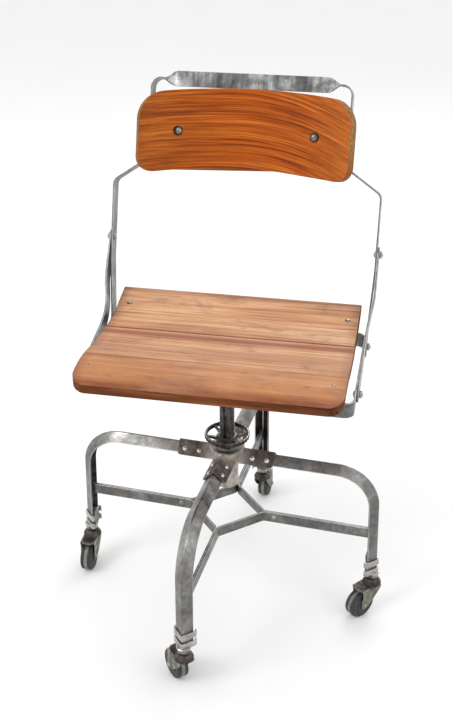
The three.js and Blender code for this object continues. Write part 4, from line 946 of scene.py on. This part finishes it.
def brace(side, name):
    """A flat bar with round ends, from the ring up to the outside of an upright."""
    top = lean(0, BRACE_UP)
    line = spaced(bent_line([BRACE_FRONT, BRACE_KNEE, (top.y, top.z)], [BRACE_BEND]), 9.0)
    w, t = BAR_W / 2, V((BAR_T / 2, 0, 0))
    low, high = RING_HALF + 0.45 + BAR_T / 2, SPREAD + BAR_T + 0.3
    caps = [math.sin(math.radians(a)) for a in (80, 62, 44, 26, 10)]

    def tail(p, sign):
        d = V((p[3], -p[2])) * sign
        return [((p[0] + d.x * w * s, p[1] + d.y * w * s, p[2], p[3]), math.sqrt(1 - s * s)) for s in caps]

    stations = tail(line[0], -1) + [(p, 1.0) for p in line] + tail(line[-1], 1)[::-1]
    rings = []
    for (y, z, ny, nz), k in stations:
        u = min(max((z - BRACE_KNEE[1]) / BRACE_STEP_RISE, 0), 1)
        x = side * (low + (high - low) * u * u * (3 - 2 * u))
        rings.append(bar_ring(V((x, y, z)), V((0, ny, nz)) * w * k, t))
    make("vis_" + name, *loft(rings), "bar_steel", name, bevel=0.5, segments=3)


def frame_bolt(node, side):
    """Domed head inside, hexagon nut and thread end outside."""
    low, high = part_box(node)
    low, high = low / MM - AXIS, high / MM - AXIS
    y, z = (low.y + high.y) / 2, (low.z + high.z) / 2
    inner, outer = (low.x, high.x) if side > 0 else (high.x, low.x)
    out = V((side, 0, 0))
    face = (inner + side * 3.0, y, z)
    head = placed(dome(6.0, 2.9, 0.1, 28), axes(face, (0, 1, 0), -out))
    shank = placed(rod(BOLT_R, -2.0, abs(outer - inner) - 3.2, c=0.5), axes(face, (0, 1, 0), out))
    nut = placed(hex_nut(NUT_R, 0, 4.1), axes((outer - side * 5.8, y, z), (0, 1, 0.35), out))
    make("vis_" + node, *merged(head, shank), "fixing_steel", node)
    make("vis_nut_" + node, *nut, "fixing_steel", node, bevel=0.35, replaces=False)


def hollow(x):
    """How far the panel's front face stands ahead of the frame's plane."""
    return PANEL_AHEAD + PANEL_R - math.sqrt(PANEL_R ** 2 - x * x)


def backrest():
    """The curved panel as rows from its lower edge up, with a rounded rim and a recess for each bolt."""
    h = PANEL_H / 2
    low_r, high_r = PANEL_LOWER_CORNER, PANEL_UPPER_CORNER
    lows = [-h + low_r * (1 - math.cos(math.radians(a))) for a in range(0, 91, 9)]
    highs = [h - high_r * (1 - math.cos(math.radians(a))) for a in range(90, -1, -9)]
    mids = [lows[-1] + (highs[0] - lows[-1]) * i / 8 for i in range(1, 8)]

    def half_at(v):
        r = low_r if v < 0 else high_r
        inside = max(0.0, abs(v) - (h - r))
        return PANEL_W / 2 - r + math.sqrt(max(0.0, r * r - inside * inside))

    across = 40
    xs = [math.sin(math.radians(90 * (-1 + 2 * i / across))) for i in range(across + 1)]
    rings = []
    for v in lows + mids + highs:
        w = half_at(v)
        ring = []
        for depth, order in ((0.0, xs), (PANEL_T, xs[::-1])):
            for along in (w * k for k in order):
                a, r = along / PANEL_R, PANEL_R + depth
                up = PANEL_UP + v + PANEL_ARCH * (0.5 - (2 * along / PANEL_W) ** 2)
                ring.append(lean(r * math.sin(a), up, PANEL_AHEAD + PANEL_R - r * math.cos(a)))
        rings.append(ring)
    points, faces = loft(rings)
    panel = make("vis_backrest", points, faces, "back_wood", "backrest",
                 zones={"back_edge": side_faces(faces, across)}, bevel=2.4, segments=4, angle=55,
                 edge="back_edge")
    cutters = []
    for side in (-1, 1):
        x = side * PANEL_BOLT_X
        at = lean(x, PANEL_UP, hollow(x) - RECESS_D)
        cutters.append(placed(rod(RECESS_R, 0, 12, 40), axes(at, (1, 0, 0), AHEAD)))
    ps, fs = merged(*cutters)
    tool_mesh = bpy.data.meshes.new("recess_tool")
    tool_mesh.from_pydata([(p + AXIS) * MM for p in ps], [], fs)
    tool_mesh.materials.append(M["back_wood"])
    tool = bpy.data.objects.new("recess_tool", tool_mesh)
    bpy.context.scene.collection.objects.link(tool)
    mod = panel.modifiers.new("recess", "BOOLEAN")
    mod.object = tool
    mod.operation = "DIFFERENCE"
    mod.solver = "EXACT"
    for m in [m.name for m in panel.modifiers]:
        with bpy.context.temp_override(object=panel, active_object=panel):
            bpy.ops.object.modifier_apply(modifier=m)
    bpy.data.objects.remove(tool)


def backrest_bolt(side, name):
    """A slotted head on a washer in its recess, and the nut behind the strap."""
    x = side * PANEL_BOLT_X
    to = axes(lean(x, PANEL_UP, hollow(x) - RECESS_D + 0.1), (1, 0, 0), AHEAD)
    washer = placed(lathe([(0, 0), (7.2, 0), (7.2, 0.5), (6.2, 0.9), (0, 0.9)], 32), to)
    make("vis_washer_" + name, *washer, "dark_steel", name, replaces=False)
    head = placed(dome(5.0, 2.0, 0.9, 28), to)
    shank = placed(rod(BOLT_R, -26.6, 0, c=0.4), to)
    nut = placed(hex_nut(NUT_R, -25.0, -21.0), to)
    make("vis_" + name, *merged(head, shank, nut), "fixing_steel", name)
    slot = [(-3.8, -0.5), (3.8, -0.5), (3.8, 0.5), (-3.8, 0.5)]
    mark = placed(extruded(slot, 2.3, 2.95), to @ Matrix.Rotation(0.4 * side, 4, "Z"))
    make("vis_slot_" + name, *mark, "dark_steel", name, replaces=False)


def back():
    back_frame()
    refined("back_strap", "bar_steel", 0.5)
    backrest()
    for side, hand in ((1, "right"), (-1, "left")):
        brace(side, "brace_" + hand)
        for kind in ("frame_bolt_rear", "frame_bolt_front", "frame_bolt_top", "strap_bolt"):
            frame_bolt(f"{kind}_{hand}", side)
        backrest_bolt(side, "backrest_bolt_" + hand)


# ------------------------------------------------------------------ stage

# Name, place and size in metres, power in watts
LIGHTS = (("key", (-1.9, -1.7, 2.6), 1.3, 30), ("fill", (2.2, -1.2, 1.5), 1.4, 8),
          ("rim", (0.6, 2.2, 2.2), 1.4, 14))
LIT_POINT = V((0, 0, 0.45))
CAMERA_AT = V((287.4, -1472.9, 1274.5))
CAMERA_ANGLES = (11.09, 28.79, 0.27)  # azimuth, elevation and roll in degrees
CAMERA_LENS = 52.55


def stage():
    """A pale floor, soft lights and a camera where the photograph was taken."""
    g = Graph("floor_paint")
    cloud = g.noise(g.place(), 3, 4, 0.5)
    paint = g.ramp(cloud, [(0.3, (0.925, 0.925, 0.925)), (0.7, (0.935, 0.935, 0.935))])
    g.finish(paint, 0.7, g.bump(cloud, 0.05))
    mesh = bpy.data.meshes.new("floor")
    mesh.from_pydata([(-9, -9, 0), (9, -9, 0), (9, 9, 0), (-9, 9, 0)], [], [(0, 1, 2, 3)])
    mesh.materials.append(g.mat)
    floor = bpy.data.objects.new("floor", mesh)
    bpy.context.scene.collection.objects.link(floor)

    world = bpy.data.worlds.new("studio")
    bpy.context.scene.world = world
    world.use_nodes = True
    sky = world.node_tree.nodes["Background"]
    sky.inputs["Color"].default_value = (1, 1, 1, 1)
    sky.inputs["Strength"].default_value = 0.96

    for name, at, size, power in LIGHTS:
        light = bpy.data.lights.new(name, "AREA")
        light.energy, light.size = power, size
        obj = bpy.data.objects.new(name, light)
        obj.location = at
        obj.rotation_euler = (LIT_POINT - V(at)).to_track_quat("-Z", "Y").to_euler()
        bpy.context.scene.collection.objects.link(obj)

    camera = bpy.data.cameras.new("camera")
    camera.sensor_fit, camera.sensor_height, camera.lens = "VERTICAL", 36.0, CAMERA_LENS
    camera.clip_end = 50
    eye = bpy.data.objects.new("camera", camera)
    bpy.context.scene.collection.objects.link(eye)
    azimuth, elevation, roll = (math.radians(a) for a in CAMERA_ANGLES)
    flat = math.cos(elevation)
    back_way = V((math.sin(azimuth) * flat, -math.cos(azimuth) * flat, math.sin(elevation)))
    right = V((math.cos(azimuth), math.sin(azimuth), 0))
    above = back_way.cross(right)
    c, s = math.cos(roll), math.sin(roll)
    view = Matrix((right * c - above * s, above * c + right * s, back_way)).transposed().to_4x4()
    view.translation = (CAMERA_AT + AXIS) * MM
    eye.matrix_world = view
    bpy.context.scene.camera = eye
    bpy.context.scene.view_settings.view_transform = "Standard"


stage()
base()
lift_screw()
handwheel()
seat()
back()
